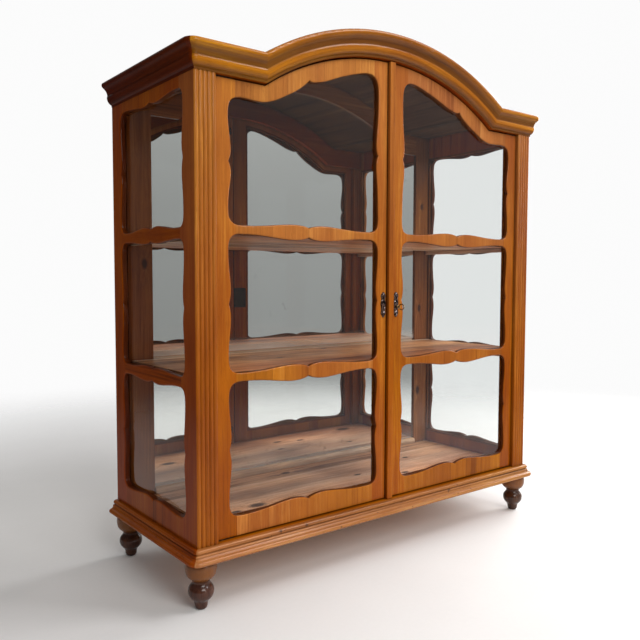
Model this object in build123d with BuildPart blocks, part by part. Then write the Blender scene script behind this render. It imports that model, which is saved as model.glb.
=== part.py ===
from build123d import *
import math
import os

os.makedirs("parts", exist_ok=True)

# ---------------------------------------------------------------------------
# Glazed display cabinet with an arched top, two doors and turned feet.
# Millimetres.  Z is up, the doors face -Y, +X is to the right from the front.
# The origin is on the floor under the middle of the cabinet's box.
# "d" below is a depth measured backwards from the front face of the posts.
# ---------------------------------------------------------------------------

# overall case
HALF = 600.0            # half the case width over the side frames
CASE_D = 461.0          # front of the posts to the back of the back posts
CORNICE_O = 28.0        # overhang of the cornice lip at the front and the sides
CORNICE_H = 62.0        # height of the cornice, standing a little proud of the roof
BASE_O = 25.0           # overhang of the base moulding
FRONT = -(CASE_D - CORNICE_O) / 2.0   # y of the posts' front faces (d = 0)

# levels
Z_BASE = 115.0          # underside of the case, top of the feet
Z_LEDGE = 151.0         # top of the base moulding and of the front bottom rail
Z_FLOOR = 160.0         # top of the bottom board
Z_SHELF1 = 538.0        # top of the lower shelf
Z_SHELF2 = 882.0        # top of the upper shelf
SHELF_T = 20.0
Z_SPRING = 1216.0       # underside of the cornice on the flats
Z_FLAT = 1274.0         # top of the roof on the flats

# the arch: concentric arcs about (x = 0, z = ARC_Z)
ARC_Z = 615.0
R_OPEN = 727.0          # underside of cornice and lintel
R_TOP = 785.0           # top of the roof in the middle
ROOF_T = 6.0
ROOF_BOARDS = 14        # boards that make up the vault
R_ROOF = R_TOP - ROOF_T
Z_ROOF = Z_FLAT - ROOF_T

# side frames
FRAME_T = 26.0          # thickness of the side frames
X_IN = HALF - FRAME_T   # inner face of the side frames
POST_X = 545.0          # inner face of the front posts
POST_D = 46.0           # depth of the thick part of the front posts
STILE_F = 73.0          # end of the front post along the side
STILE_B = 396.0         # start of the back post along the side
SIDE_L0 = 59.0          # side light, front end
SIDE_L1 = 410.0         # side light, back end
SIDE_MID = (SIDE_L0 + SIDE_L1) / 2.0

# doors
DOOR_F = 11.0           # door face behind the post face
DOOR_B = 33.0           # back face of the doors
DOOR_X = 541.5          # hinge edge
DOOR_Z0 = 155.0         # bottom edge
DOOR_FLAT = 1212.0      # top edge on the flats
R_DOOR = 723.0          # top edge on the arch
MEET_R = -12.5          # meeting edge of the right door
MEET_L = -15.5          # meeting edge of the left door
STRIP_X = 6.4           # right edge of the raised strip along the meeting edge
STRIP_D = 1.5           # front face of that strip
JOINT_H = 490.0         # hinge stile meets the rails
JOINT_M = 62.0          # meeting stile meets the rails
LIGHT_R = 4.0           # rounding of the edges of the lights
LIGHT_X0 = 46.0         # door light, meeting side
LIGHT_X1 = 508.0        # door light, hinge side
LIGHT_XM = 276.0        # notch in the middle of the door light
REBATE = 6.0            # glazing rebate beyond the light
STOP_D = 37.0           # doors close in front of this depth

# hinge pins
PIN_X = 531.5
PIN_D = 17.0
PIN_R = 3.0
PIN_FIT = 0.05

# back
BACK_F = 415.0          # front of the back frame
BACK_B = 437.0          # back of the back frame
MIRROR_F = 421.5
MIRROR_B = 425.5
BACK_X = 510.0          # inner edge of the back stiles
BACK_REB = 522.0        # rebate for mirror and backing board

# lock, key and bolts
KEY_X = 22.0
KEY_Z = 684.0
ESC_Z = 690.0
ESC_LX = -25.6          # key plate of the left door
PLATE_T = 3.0           # height of the key plates' relief
BOLT_X = -26.0
BOLT_D = 22.0
BOLT_R = 3.0

# feet
FOOT_X = 579.0
FOOT_D0 = 25.0
FOOT_D1 = 424.0


# ---------------------------------------------------------------------------
# planes and outlines
# ---------------------------------------------------------------------------

def front(d):
    """Upright plane at depth d: local x = X, local y = Z, normal towards the front."""
    return Plane(origin=(0, FRONT + d, 0), x_dir=(1, 0, 0), z_dir=(0, -1, 0))


def side(x):
    """Upright plane at x: local x = depth d, local y = Z, normal towards +X."""
    return Plane(origin=(x, FRONT, 0), x_dir=(0, 1, 0), z_dir=(1, 0, 0))


def flat(z):
    """Level plane at height z: local x = X, local y = depth d."""
    return Plane(origin=(0, FRONT, z), x_dir=(1, 0, 0), z_dir=(0, 0, 1))


def arc_z(r, x):
    return ARC_Z + math.sqrt(r * r - x * x)


def arc_x(r, z):
    return math.sqrt(r * r - (z - ARC_Z) ** 2)


def box(x0, x1, z0, z1):
    """Rectangle in the current sketch between two corners."""
    with Locations(((x0 + x1) / 2, (z0 + z1) / 2)):
        Rectangle(abs(x1 - x0), abs(z1 - z0))


def half_wave(half, amp, notch, corner, rise):
    """Edge of a light from its middle notch to the corner: (distance, inward) pairs."""
    a = amp
    return [
        (0.0, notch), (0.045 * half, 0.50 * a + 0.4 * notch), (0.11 * half, 0.86 * a),
        (0.20 * half, a), (0.32 * half, 0.86 * a), (0.46 * half, 0.52 * a),
        (0.60 * half, 0.20 * a), (0.74 * half, 0.02 * a), (half - corner, 0.0),
        (half - 0.55 * corner, 0.06 * rise), (half - 0.22 * corner, 0.30 * rise),
    ]


def side_wave(half, amp, notch, corner, rise):
    """Upright edge of a light from the corner back to its middle notch."""
    a = amp
    return [
        (half - 0.62 * rise, 0.07 * corner), (half - 1.15 * rise, 0.0), (0.60 * half, 0.10 * a), (0.42 * half, 0.55 * a),
        (0.26 * half, 0.95 * a), (0.14 * half, 0.90 * a), (0.06 * half, 0.55 * a),
        (0.0, notch),
    ]


def light_curves(x0, x1, z0, z1, ax=6.0, az=12.0, nx=0.5, nz=2.5, corner=34.0, rise=26.0):
    """Four splines, one per corner, from notch to notch round a light."""
    xm, zm = (x0 + x1) / 2, (z0 + z1) / 2
    hx, hz = (x1 - x0) / 2, (z1 - z0) / 2
    curves = []
    for sx, sz in ((1, -1), (1, 1), (-1, 1), (-1, -1)):
        level = z0 if sz < 0 else z1
        edge = x1 if sx > 0 else x0
        pts = [(xm + sx * u, level - sz * v) for u, v in half_wave(hx, az, nz, corner, rise)]
        pts += [(edge - sx * v, zm + sz * u) for u, v in side_wave(hz, ax, nx, corner, rise)]
        if (sx, sz) in ((1, 1), (-1, -1)):
            pts = pts[::-1]
        curves.append(pts)
    return curves


# upper light of the right door: its top edge follows the arch in an S
UP_Z0 = 884.5
UP_SIDE_N = 1029.0      # notch height on the hinge side
UP_MEET_N = 1088.0      # notch height on the meeting side


def upper_light_curves():
    x0, x1, xm, z0 = LIGHT_X0, LIGHT_X1, LIGHT_XM, UP_Z0
    hx = (x1 - x0) / 2
    wave = half_wave(hx, 8.5, 1.5, 34.0, 26.0)
    low_r = [(xm + u, z0 + v) for u, v in wave]
    low_r += [(x1 - 2.4, z0 + 16.1), (x1, z0 + 30),
              (x1 - 0.6, 942), (x1 - 4.0, 972), (x1 - 7.0, 996), (x1 - 6.2, 1014),
              (x1 - 3.5, 1023), (x1 - 0.5, UP_SIDE_N)]
    up_r = [(x1 - 0.5, UP_SIDE_N), (x1 - 3.5, 1035), (x1 - 6.2, 1044), (x1 - 7.0, 1062),
            (x1 - 4.5, 1086), (x1 - 1.0, 1112), (x1, 1135), (x1 - 1.8, 1152),
            (x1 - 8.0, 1166), (x1 - 20.0, 1173), (462, 1175), (434, 1173.5), (408, 1174.5),
            (387, 1180), (366, 1188.5), (344, 1200), (323, 1211), (304, 1223), (290, 1233.5),
            (281.5, 1241), (xm, 1247)]
    up_l = [(xm, 1247), (268, 1244.2), (252, 1246), (230, 1251.5), (206, 1260.5),
            (168, 1275), (132, 1286.5), (104, 1294), (82, 1297.3), (66, 1295), (54.5, 1286),
            (48.0, 1270), (46.2, 1250), (46.3, 1215), (48.5, 1172), (52.0, 1136),
            (52.8, 1112), (51.0, 1098), (x0 + 0.5, UP_MEET_N)]
    low_l = [(x0 + 0.5, UP_MEET_N), (51.0, 1078), (52.8, 1064), (52.0, 1040), (48.6, 1004),
             (46.6, 960), (x0 + 0.1, 934), (x0, z0 + 30), (x0 + 2.4, z0 + 16.1)]
    low_l += [(xm - u, z0 + v) for u, v in wave][::-1]
    return [low_r, up_r, up_l, low_l]


LOW_LIGHT = light_curves(LIGHT_X0, LIGHT_X1, 201.0, 519.5, az=11.5)
MID_LIGHT = light_curves(LIGHT_X0, LIGHT_X1, 540.5, 863.5, az=9.0, nz=1.0)
UP_LIGHT = upper_light_curves()
DOOR_LIGHTS = [LOW_LIGHT, MID_LIGHT, UP_LIGHT]

SIDE_LOW = light_curves(SIDE_L0, SIDE_L1, 203.0, 508.5, az=8.5, nz=2.0, corner=30, rise=24)
SIDE_MIDL = light_curves(SIDE_L0, SIDE_L1, 534.5, 851.5, az=7.0, nz=1.0, corner=30, rise=24)
SIDE_UP = light_curves(SIDE_L0, SIDE_L1, 877.5, 1190.0, az=9.5, nz=3.0, corner=30, rise=24)
SIDE_LIGHTS = [SIDE_LOW, SIDE_MIDL, SIDE_UP]

# glazing rebates behind the door lights, right door
PANE_X0, PANE_X1 = LIGHT_X0 - REBATE, LIGHT_X1 + REBATE
DOOR_PANES = [(195.0, 525.5), (534.5, 869.5)]
UP_PANE_Z0 = 878.5
R_PANE = 697.0
Z_PANE = 1186.0
SIDE_PANES = [(197.0, 514.5), (528.5, 857.5), (871.5, 1196.0)]
SP0, SP1 = SIDE_L0 - REBATE, SIDE_L1 + REBATE


def mirrored(curves):
    return [[(-x, z) for x, z in pts] for pts in curves]


def cut_lights(lights):
    """Take the lights out of the current sketch."""
    for curves in lights:
        with BuildLine() as outline:
            for pts in curves:
                Spline(*pts)
        make_face(outline.edges(), mode=Mode.SUBTRACT)


def light_edges(work, axis, level):
    """Edges of the lights that lie on one outer face of the part being built."""
    found = []
    for e in work.part.edges().filter_by(GeomType.BSPLINE):
        bb = e.bounding_box()
        lo, hi = (bb.min.X, bb.max.X) if axis == "X" else (bb.min.Y, bb.max.Y)
        if abs(lo - level) < 1e-3 and abs(hi - level) < 1e-3:
            found.append(e)
    return found


def arch_face(x0, x1, z0, r, z_flat=None, mode=Mode.ADD):
    """Face from z0 up to the arc of radius r between x0 and x1 (both >= 0 or astride 0),
    dropping to a flat shoulder at z_flat beyond the arc."""
    xa = arc_x(r, z_flat) if z_flat is not None else None
    with BuildLine() as outline:
        xe = x1 if xa is None or x1 <= xa else xa
        xs = x0 if xa is None or x0 >= -xa else -xa
        ThreePointArc((xs, arc_z(r, xs)), ((xs + xe) / 2, arc_z(r, (xs + xe) / 2)), (xe, arc_z(r, xe)))
        pts = [(xe, arc_z(r, xe))]
        if x1 > xe:
            pts.append((x1, z_flat))
        pts += [(x1, z0), (x0, z0)]
        if x0 < xs:
            pts.append((x0, z_flat))
        pts.append((xs, arc_z(r, xs)))
        Polyline(*pts)
    make_face(outline.edges(), mode=mode)


def pane_sketch(grow=0.0, mode=Mode.ADD, sign=1):
    """The three pane outlines of a door; grow > 0 shrinks them by that much."""
    g = grow
    for z0, z1 in DOOR_PANES:
        with Locations((sign * (PANE_X0 + PANE_X1) / 2, (z0 + z1) / 2)):
            Rectangle(PANE_X1 - PANE_X0 - 2 * g, z1 - z0 - 2 * g, mode=mode)
    a, b = PANE_X0 + g, PANE_X1 - g
    if sign > 0:
        arch_face(a, b, UP_PANE_Z0 + g, R_PANE - g, Z_PANE - g, mode=mode)
    else:
        arch_face(-b, -a, UP_PANE_Z0 + g, R_PANE - g, Z_PANE - g, mode=mode)


def finish(part, name):
    part.label = name
    export_step(part, f"parts/{name}.step")
    print(f"{name}: {len(part.solids())} solid(s), {part.volume / 1000:.1f} cm3")


# ---------------------------------------------------------------------------
# turned feet, each with a dowel up into the case
# ---------------------------------------------------------------------------
FOOT_PROFILE = [(36.0, Z_BASE - 8), (36.8, 100), (36.4, 92), (34.8, 84), (30.5, 76.5), (24.0, 70.5),
                (20.8, 65.5), (22.0, 60.5), (26.2, 55.0), (29.4, 48.5), (30.2, 42.0),
                (29.0, 35.0), (25.8, 28.5), (20.8, 23.0), (17.0, 18.0), (15.6, 12.5),
                (14.8, 7.0), (13.0, 2.5)]

FEET = {
    "foot_front_left": (-FOOT_X, FOOT_D0),
    "foot_front_right": (FOOT_X, FOOT_D0),
    "foot_back_left": (-FOOT_X, FOOT_D1),
    "foot_back_right": (FOOT_X, FOOT_D1),
}
for foot_name, (fx, fd) in FEET.items():
    with BuildPart() as foot:
        axis_plane = Plane(origin=(fx, FRONT + fd, 0), x_dir=(1, 0, 0), z_dir=(0, -1, 0))
        with BuildSketch(axis_plane):
            with BuildLine():
                Polyline((0, 0), (10.0, 0), (13.0, 2.5))
                Spline(*FOOT_PROFILE)
                Polyline((36.0, Z_BASE - 8), (34.5, Z_BASE - 4), (34.5, Z_BASE), (9.0, Z_BASE),
                         (9.0, Z_BASE + 22), (0, Z_BASE + 22), (0, 0))
            make_face()
        revolve(axis=Axis((fx, FRONT + fd, 0), (0, 0, 1)))
    finish(foot.part, foot_name)


def foot_holes():
    """Bores for the dowels of all four feet."""
    with BuildSketch(flat(Z_BASE)) as bores:
        with Locations(*FEET.values()):
            Circle(9.0)
    extrude(bores.sketch, amount=22.0, mode=Mode.SUBTRACT)


# ---------------------------------------------------------------------------
# posts
# ---------------------------------------------------------------------------
REEDS = 5
REED_P = (HALF - POST_X) / REEDS
REED_SAG = 2.6

with BuildPart() as front_right_post:
    with BuildSketch(flat(Z_BASE)):
        with BuildLine():
            for i in range(REEDS):
                xa = POST_X + i * REED_P
                xb = xa + REED_P
                ThreePointArc((xa, REED_SAG), ((xa + xb) / 2, 0.0), (xb, REED_SAG))
            Polyline((HALF, REED_SAG), (HALF, STILE_F), (X_IN, STILE_F), (X_IN, POST_D),
                     (POST_X, POST_D), (POST_X, REED_SAG))
        make_face()
    extrude(amount=Z_ROOF - Z_BASE)
    # lights and glazing rebate in the part that runs along the side
    with BuildSketch(side(X_IN)):
        for curves in SIDE_LIGHTS:
            with BuildLine():
                for pts in curves:
                    Spline(*pts)
            make_face()
    extrude(amount=FRAME_T, mode=Mode.SUBTRACT)
    fillet(light_edges(front_right_post, "X", HALF), radius=LIGHT_R)
    with BuildSketch(side(X_IN)):
        for z0, z1 in SIDE_PANES:
            box(SP0, SP1, z0, z1)
    extrude(amount=12.0, mode=Mode.SUBTRACT)
    foot_holes()
finish(front_right_post.part, "front_right_post")

with BuildPart() as front_left_post:
    mirror(front_right_post.part, about=Plane.YZ)
finish(front_left_post.part, "front_left_post")

with BuildPart() as back_right_post:
    with BuildSketch(flat(Z_BASE)):
        box(X_IN, HALF, STILE_B, CASE_D)
    extrude(amount=Z_ROOF - Z_BASE)
    with BuildSketch(side(X_IN)):
        for curves in SIDE_LIGHTS:
            with BuildLine():
                for pts in curves:
                    Spline(*pts)
            make_face()
    extrude(amount=FRAME_T, mode=Mode.SUBTRACT)
    fillet(light_edges(back_right_post, "X", HALF), radius=LIGHT_R)
    with BuildSketch(side(X_IN)):
        for z0, z1 in SIDE_PANES:
            box(SP0, SP1, z0, z1)
    extrude(amount=12.0, mode=Mode.SUBTRACT)
    foot_holes()
finish(back_right_post.part, "back_right_post")

with BuildPart() as back_left_post:
    mirror(back_right_post.part, about=Plane.YZ)
finish(back_left_post.part, "back_left_post")

# ---------------------------------------------------------------------------
# rails of the side frames
# ---------------------------------------------------------------------------
SIDE_RAILS = {
    "side_bottom_rail": [(Z_BASE, 222.0)],
    "side_mid_rails": [(494.0, 546.0), (838.0, 890.0)],
    "side_top_rail": [(1176.0, Z_ROOF)],
}
for rail_name, spans in SIDE_RAILS.items():
    with BuildPart() as side_rail:
        with BuildSketch(side(X_IN)):
            for z0, z1 in spans:
                box(STILE_F, STILE_B, z0, z1)
            cut_lights(SIDE_LIGHTS)
        extrude(amount=FRAME_T)
        fillet(light_edges(side_rail, "X", HALF), radius=LIGHT_R)
        with BuildSketch(side(X_IN)):
            for z0, z1 in SIDE_PANES:
                box(SP0, SP1, z0, z1)
        extrude(amount=12.0, mode=Mode.SUBTRACT)
    finish(side_rail.part, "right_" + rail_name)
    with BuildPart() as side_rail_left:
        mirror(side_rail.part, about=Plane.YZ)
    finish(side_rail_left.part, "left_" + rail_name)

# side glass: three panes each side, seated in the rebates
with BuildPart() as side_glass:
    with BuildSketch(side(X_IN + 8.8)):
        for z0, z1 in SIDE_PANES:
            box(SP0 + 0.5, SP1 - 0.5, z0 + 0.5, z1 - 0.5)
    extrude(amount=3.0)
    mirror(about=Plane.YZ)
finish(side_glass.part, "side_glass")

BEAD_W = 6.0
with BuildPart() as side_glazing_beads:
    with BuildSketch(side(X_IN + 0.6)):
        for z0, z1 in SIDE_PANES:
            a, b, c, e, w = SP0, SP1, z0, z1, BEAD_W
            for quad in (((a, c), (b, c), (b - w, c + w), (a + w, c + w)),
                         ((b, c), (b, e), (b - w, e - w), (b - w, c + w)),
                         ((b, e), (a, e), (a + w, e - w), (b - w, e - w)),
                         ((a, e), (a, c), (a + w, c + w), (a + w, e - w))):
                cx = sum(p[0] for p in quad) / 4
                cz = sum(p[1] for p in quad) / 4
                # each strip is its own stick, mitred with a hair of clearance
                shrunk = [(cx + (p[0] - cx) * 0.9995, cz + (p[1] - cz) * 0.985) if abs(p[0] - cx) > abs(p[1] - cz)
                          else (cx + (p[0] - cx) * 0.985, cz + (p[1] - cz) * 0.9995) for p in quad]
                with BuildLine():
                    Polyline(*shrunk, close=True)
                make_face()
    extrude(amount=8.0)
    mirror(about=Plane.YZ)
finish(side_glazing_beads.part, "side_glazing_beads")

# ---------------------------------------------------------------------------
# bottom: front rail, floor board, base moulding
# ---------------------------------------------------------------------------
with BuildPart() as front_bottom_rail:
    with BuildSketch(flat(Z_BASE)):
        box(-POST_X, POST_X, 0.0, STOP_D)
    extrude(amount=Z_LEDGE - Z_BASE)
    # socket for the bottom bolt
    with BuildSketch(flat(Z_LEDGE)):
        with Locations((BOLT_X, BOLT_D)):
            Circle(3.5)
    extrude(amount=-9.0, mode=Mode.SUBTRACT)
finish(front_bottom_rail.part, "front_bottom_rail")

with BuildPart() as bottom_board:
    with BuildSketch(flat(Z_FLOOR - 18.0)):
        box(-X_IN, X_IN, STOP_D, BACK_F)
        for s in (-1, 1):
            with Locations((s * (POST_X + X_IN) / 2, (STOP_D + POST_D) / 2)):
                Rectangle(X_IN - POST_X, POST_D - STOP_D, mode=Mode.SUBTRACT)
    extrude(amount=18.0)
finish(bottom_board.part, "bottom_board")

# (overhang, height above the underside of the case)

def base_profile():
    with BuildLine() as outline:
        Polyline((0, 0), (19.5, 0))
        ThreePointArc((19.5, 0), (BASE_O, 6.4), (19.0, 13.0))
        Polyline((19.0, 13.0), (16.4, 14.4), (13.4, 18.2))
        ThreePointArc((13.4, 18.2), (13.8, 21.2), (11.0, 23.6))
        Polyline((11.0, 23.6), (9.4, 24.8))
        ThreePointArc((9.4, 24.8), (12.0, 30.0), (7.0, 35.4))
        Polyline((7.0, 35.4), (0, 36.0), (0, 0))
    make_face(outline.edges())


with BuildPart() as base_half:
    # right half of the front length, turned round the post's corner as far as the mitre
    with BuildSketch(Plane(origin=(0, FRONT, Z_BASE), x_dir=(0, -1, 0), z_dir=(-1, 0, 0))):
        base_profile()
    extrude(amount=-HALF)
    with BuildSketch(Plane(origin=(HALF, FRONT, Z_BASE), x_dir=(0, -1, 0), z_dir=(-1, 0, 0))):
        base_profile()
    revolve(axis=Axis((HALF, FRONT, 0), (0, 0, 1)), revolution_arc=45.0)

with BuildPart() as base_moulding_front:
    add(base_half.part)
    mirror(base_half.part, about=Plane.YZ)
finish(base_moulding_front.part, "base_moulding_front")

with BuildPart() as base_moulding_right:
    with BuildSketch(Plane(origin=(HALF, FRONT, Z_BASE), x_dir=(1, 0, 0), z_dir=(0, -1, 0))):
        base_profile()
    extrude(amount=-CASE_D)
    with BuildSketch(Plane(origin=(HALF, FRONT, Z_BASE), x_dir=(1, 0, 0), z_dir=(0, -1, 0))):
        base_profile()
    revolve(axis=Axis((HALF, FRONT, 0), (0, 0, -1)), revolution_arc=45.0)
finish(base_moulding_right.part, "base_moulding_right")

with BuildPart() as base_moulding_left:
    mirror(base_moulding_right.part, about=Plane.YZ)
finish(base_moulding_left.part, "base_moulding_left")

# ---------------------------------------------------------------------------
# shelves and the battens that carry them
# ---------------------------------------------------------------------------
for shelf_name, z_top in (("lower_shelf", Z_SHELF1), ("upper_shelf", Z_SHELF2)):
    with BuildPart() as shelf:
        with BuildSketch(flat(z_top - SHELF_T)):
            box(-X_IN + 0.5, X_IN - 0.5, STOP_D + 1.0, BACK_F)
            for s in (-1, 1):
                with Locations((s * (POST_X - 1.0 + X_IN) / 2, (STOP_D + POST_D + 1.0) / 2)):
                    Rectangle(X_IN - POST_X + 1.0, POST_D - STOP_D + 1.0, mode=Mode.SUBTRACT)
            box(-BACK_X + 0.5, BACK_X - 0.5, BACK_F - 1.0, MIRROR_F - 0.3)
        extrude(amount=SHELF_T)
    finish(shelf.part, shelf_name)

with BuildPart() as shelf_battens:
    for z_top in (Z_SHELF1, Z_SHELF2):
        with BuildSketch(flat(z_top - SHELF_T - 14.0)):
            for s in (-1, 1):
                with Locations((s * (X_IN - 6.0), (POST_D + BACK_F) / 2)):
                    Rectangle(12.0, BACK_F - POST_D)
        extrude(amount=14.0)
finish(shelf_battens.part, "shelf_battens")

# ---------------------------------------------------------------------------
# top: arched lintel, roof, cornice
# ---------------------------------------------------------------------------
with BuildPart() as lintel:
    with BuildSketch(front(STOP_D)):
        arch_face(-POST_X, POST_X, 1190.0, R_ROOF, Z_ROOF)
        arch_face(-POST_X, POST_X, 1100.0, R_OPEN, Z_SPRING, mode=Mode.SUBTRACT)
    extrude(amount=STOP_D)
    # the stop behind the doors
    with BuildSketch(front(STOP_D + 18.0)):
        arch_face(-X_IN, X_IN, 1190.0, R_ROOF, Z_ROOF)
        arch_face(-X_IN, X_IN, 1100.0, R_OPEN - 12.0, Z_SPRING - 12.0, mode=Mode.SUBTRACT)
    extrude(amount=18.0)
    # clear of the posts
    with BuildSketch(flat(1150.0)):
        for s in (-1, 1):
            with Locations((s * (POST_X + 50.0), 0)):
                Rectangle(100.0, 2 * POST_D)
    extrude(amount=200.0, mode=Mode.SUBTRACT)
    # socket for the top bolt
    with BuildSketch(flat(1330.0)):
        with Locations((BOLT_X, BOLT_D)):
            Circle(3.5)
    extrude(amount=24.0, mode=Mode.SUBTRACT)
finish(lintel.part, "lintel")

with BuildPart() as roof_panel:
    with BuildSketch(front(CASE_D)):
        arch_face(-HALF, HALF, 1180.0, R_TOP, Z_FLAT)
        arch_face(-HALF - 5, HALF + 5, 1100.0, R_ROOF, Z_ROOF, mode=Mode.SUBTRACT)
        # narrow boards laid from front to back, a hair apart
        xi, xo = arc_x(R_ROOF, Z_ROOF), arc_x(R_TOP, Z_FLAT)
        a_end = math.asin((xi + xo) / 2 / ((R_ROOF + R_TOP) / 2))
        slits = []
        for i in range(ROOF_BOARDS + 1):
            a = -a_end + 2 * a_end * i / ROOF_BOARDS
            r0, r1 = R_ROOF - 8, R_TOP + 8
            ca, sa = math.cos(a), math.sin(a)
            h = 0.04
            slits.append([(r * sa + k * ca, ARC_Z + r * ca - k * sa)
                          for r, k in ((r0, -h), (r1, -h), (r1, h), (r0, h))])
        for quad in slits:
            with BuildLine():
                Polyline(*quad, close=True)
            make_face(mode=Mode.SUBTRACT)
    extrude(amount=CASE_D)
finish(roof_panel.part, "roof_panel")


def cornice_profile():
    """Overhang to the local x, height above the underside to the local y."""
    with BuildLine() as outline:
        Polyline((0, 0), (1.0, 0), (1.6, 5.0))
        ThreePointArc((1.6, 5.0), (10.6, 12.6), (13.8, 24.6))
        Polyline((13.8, 24.6), (12.6, 28.0))
        ThreePointArc((12.6, 28.0), (15.8, 38.6), (23.6, 46.6))
        Polyline((23.6, 46.6), (25.6, 48.4))
        ThreePointArc((25.6, 48.4), (CORNICE_O, 55.0), (24.6, 61.0))
        Polyline((24.6, 61.0), (22.0, CORNICE_H), (0, CORNICE_H), (0, 0))
    make_face(outline.edges())


# lines along which the arch meets the flats
XV0, XV1 = arc_x(R_OPEN, Z_SPRING), arc_x(R_TOP, Z_FLAT)
XV_LO = XV0 - (XV1 - XV0) / (Z_FLAT - Z_SPRING) * 20.0
XV_HI = XV1 + (XV1 - XV0) / (Z_FLAT - Z_SPRING) * 30.0

with BuildPart() as arch_bar:
    # the arched middle of the front cornice
    a0 = math.radians(-38.0)
    with BuildSketch(Plane(origin=(R_OPEN * math.sin(a0), FRONT, ARC_Z + R_OPEN * math.cos(a0)),
                           x_dir=(0, -1, 0), z_dir=(-math.cos(a0), 0, math.sin(a0)))):
        cornice_profile()
    revolve(axis=Axis((0, 0, ARC_Z), (0, 1, 0)), revolution_arc=76.0)
    with BuildSketch(front(0)):
        with BuildLine():
            Polyline((-XV_LO, Z_SPRING - 20), (-XV_HI, Z_FLAT + 30), (-XV_HI, 1500), (XV_HI, 1500),
                     (XV_HI, Z_FLAT + 30), (XV_LO, Z_SPRING - 20), close=True)
        make_face()
    extrude(amount=40.0, mode=Mode.INTERSECT)

with BuildPart() as flat_bar:
    # one straight end of it, on the right
    with BuildSketch(Plane(origin=(300.0, FRONT, Z_SPRING), x_dir=(0, -1, 0), z_dir=(-1, 0, 0))):
        cornice_profile()
    extrude(amount=-(HALF - 300.0))
    with BuildSketch(front(0)):
        with BuildLine():
            # a hair clear of the arch at the mitre, so that the three lengths stay separate
            Polyline((XV_LO + 0.05, Z_SPRING - 20), (XV_HI + 0.05, Z_FLAT + 30), (700, Z_FLAT + 30),
                     (700, Z_SPRING - 20), close=True)
        make_face()
    extrude(amount=40.0, mode=Mode.INTERSECT)
    # turned round the post's corner as far as the mitre
    with BuildSketch(Plane(origin=(HALF, FRONT, Z_SPRING), x_dir=(0, -1, 0), z_dir=(-1, 0, 0))):
        cornice_profile()
    revolve(axis=Axis((HALF, FRONT, 0), (0, 0, 1)), revolution_arc=45.0)

with BuildPart() as cornice_front:
    add(arch_bar.part)
    add(flat_bar.part)
    mirror(flat_bar.part, about=Plane.YZ)
finish(cornice_front.part, "cornice_front")

with BuildPart() as cornice_right:
    with BuildSketch(Plane(origin=(HALF, FRONT, Z_SPRING), x_dir=(1, 0, 0), z_dir=(0, -1, 0))):
        cornice_profile()
    extrude(amount=-CASE_D)
    with BuildSketch(Plane(origin=(HALF, FRONT, Z_SPRING), x_dir=(1, 0, 0), z_dir=(0, -1, 0))):
        cornice_profile()
    revolve(axis=Axis((HALF, FRONT, 0), (0, 0, -1)), revolution_arc=45.0)
finish(cornice_right.part, "cornice_right")

with BuildPart() as cornice_left:
    mirror(cornice_right.part, about=Plane.YZ)
finish(cornice_left.part, "cornice_left")

# ---------------------------------------------------------------------------
# back: stiles, rails, mirror, backing board, bead
# ---------------------------------------------------------------------------
with BuildPart() as back_stiles:
    with BuildSketch(flat(Z_BASE)):
        box(BACK_X, X_IN, BACK_F, BACK_B)
        box(BACK_X, BACK_REB, MIRROR_F, BACK_B)
    extrude(amount=Z_ROOF - Z_BASE)
    with BuildSketch(flat(Z_FLOOR)):
        box(BACK_X - 1, BACK_REB, MIRROR_F, BACK_B)
    extrude(amount=Z_SPRING - 6.0 - Z_FLOOR, mode=Mode.SUBTRACT)
    foot_holes()
    mirror(about=Plane.YZ)
finish(back_stiles.part, "back_stiles")

with BuildPart() as back_bottom_rail:
    with BuildSketch(flat(Z_BASE)):
        box(-BACK_X, BACK_X, BACK_F, BACK_B)
    extrude(amount=Z_FLOOR - Z_BASE)
finish(back_bottom_rail.part, "back_bottom_rail")

R_GLASS = R_OPEN + 8.0
Z_GLASS = Z_SPRING - 6.0
with BuildPart() as back_top_rail:
    with BuildSketch(front(BACK_B)):
        arch_face(-BACK_X, BACK_X, 1150.0, R_ROOF, Z_ROOF)
        arch_face(-BACK_X, BACK_X, 1100.0, R_OPEN - 2.0, Z_SPRING - 14.0, mode=Mode.SUBTRACT)
    extrude(amount=BACK_B - BACK_F)
    # rebate for the mirror and the backing board
    with BuildSketch(front(BACK_B)):
        arch_face(-BACK_X - 1, BACK_X + 1, 1100.0, R_GLASS, Z_GLASS)
    extrude(amount=BACK_B - MIRROR_F, mode=Mode.SUBTRACT)
finish(back_top_rail.part, "back_top_rail")

with BuildPart() as mirror_pane:
    with BuildSketch(front(MIRROR_B)):
        arch_face(-BACK_REB + 0.5, BACK_REB - 0.5, Z_FLOOR + 0.3, R_GLASS - 0.5, Z_GLASS - 0.5)
    extrude(amount=MIRROR_B - MIRROR_F)
finish(mirror_pane.part, "mirror_pane")

with BuildPart() as backing_board:
    with BuildSketch(front(MIRROR_B + 6.0)):
        arch_face(-BACK_REB + 0.5, BACK_REB - 0.5, Z_FLOOR + 0.3, R_GLASS - 0.5, Z_GLASS - 0.5)
    extrude(amount=6.0)
finish(backing_board.part, "backing_board")

with BuildPart() as mirror_bead:
    with BuildSketch(Plane(origin=(-BACK_X + 0.5, FRONT, 0), x_dir=(0, 1, 0), z_dir=(1, 0, 0))):
        with BuildLine():
            Polyline((407.0, Z_FLOOR), (407.0, Z_FLOOR + 9.0))
            ThreePointArc((407.0, Z_FLOOR + 9.0), (410.0, Z_FLOOR + 15.2), (416.0, Z_FLOOR + 18.0))
            Polyline((416.0, Z_FLOOR + 18.0), (MIRROR_F - 0.2, Z_FLOOR + 18.0),
                     (MIRROR_F - 0.2, Z_FLOOR), (407.0, Z_FLOOR))
        make_face()
    extrude(amount=2 * (BACK_X - 0.5))
finish(mirror_bead.part, "mirror_bead")

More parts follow.
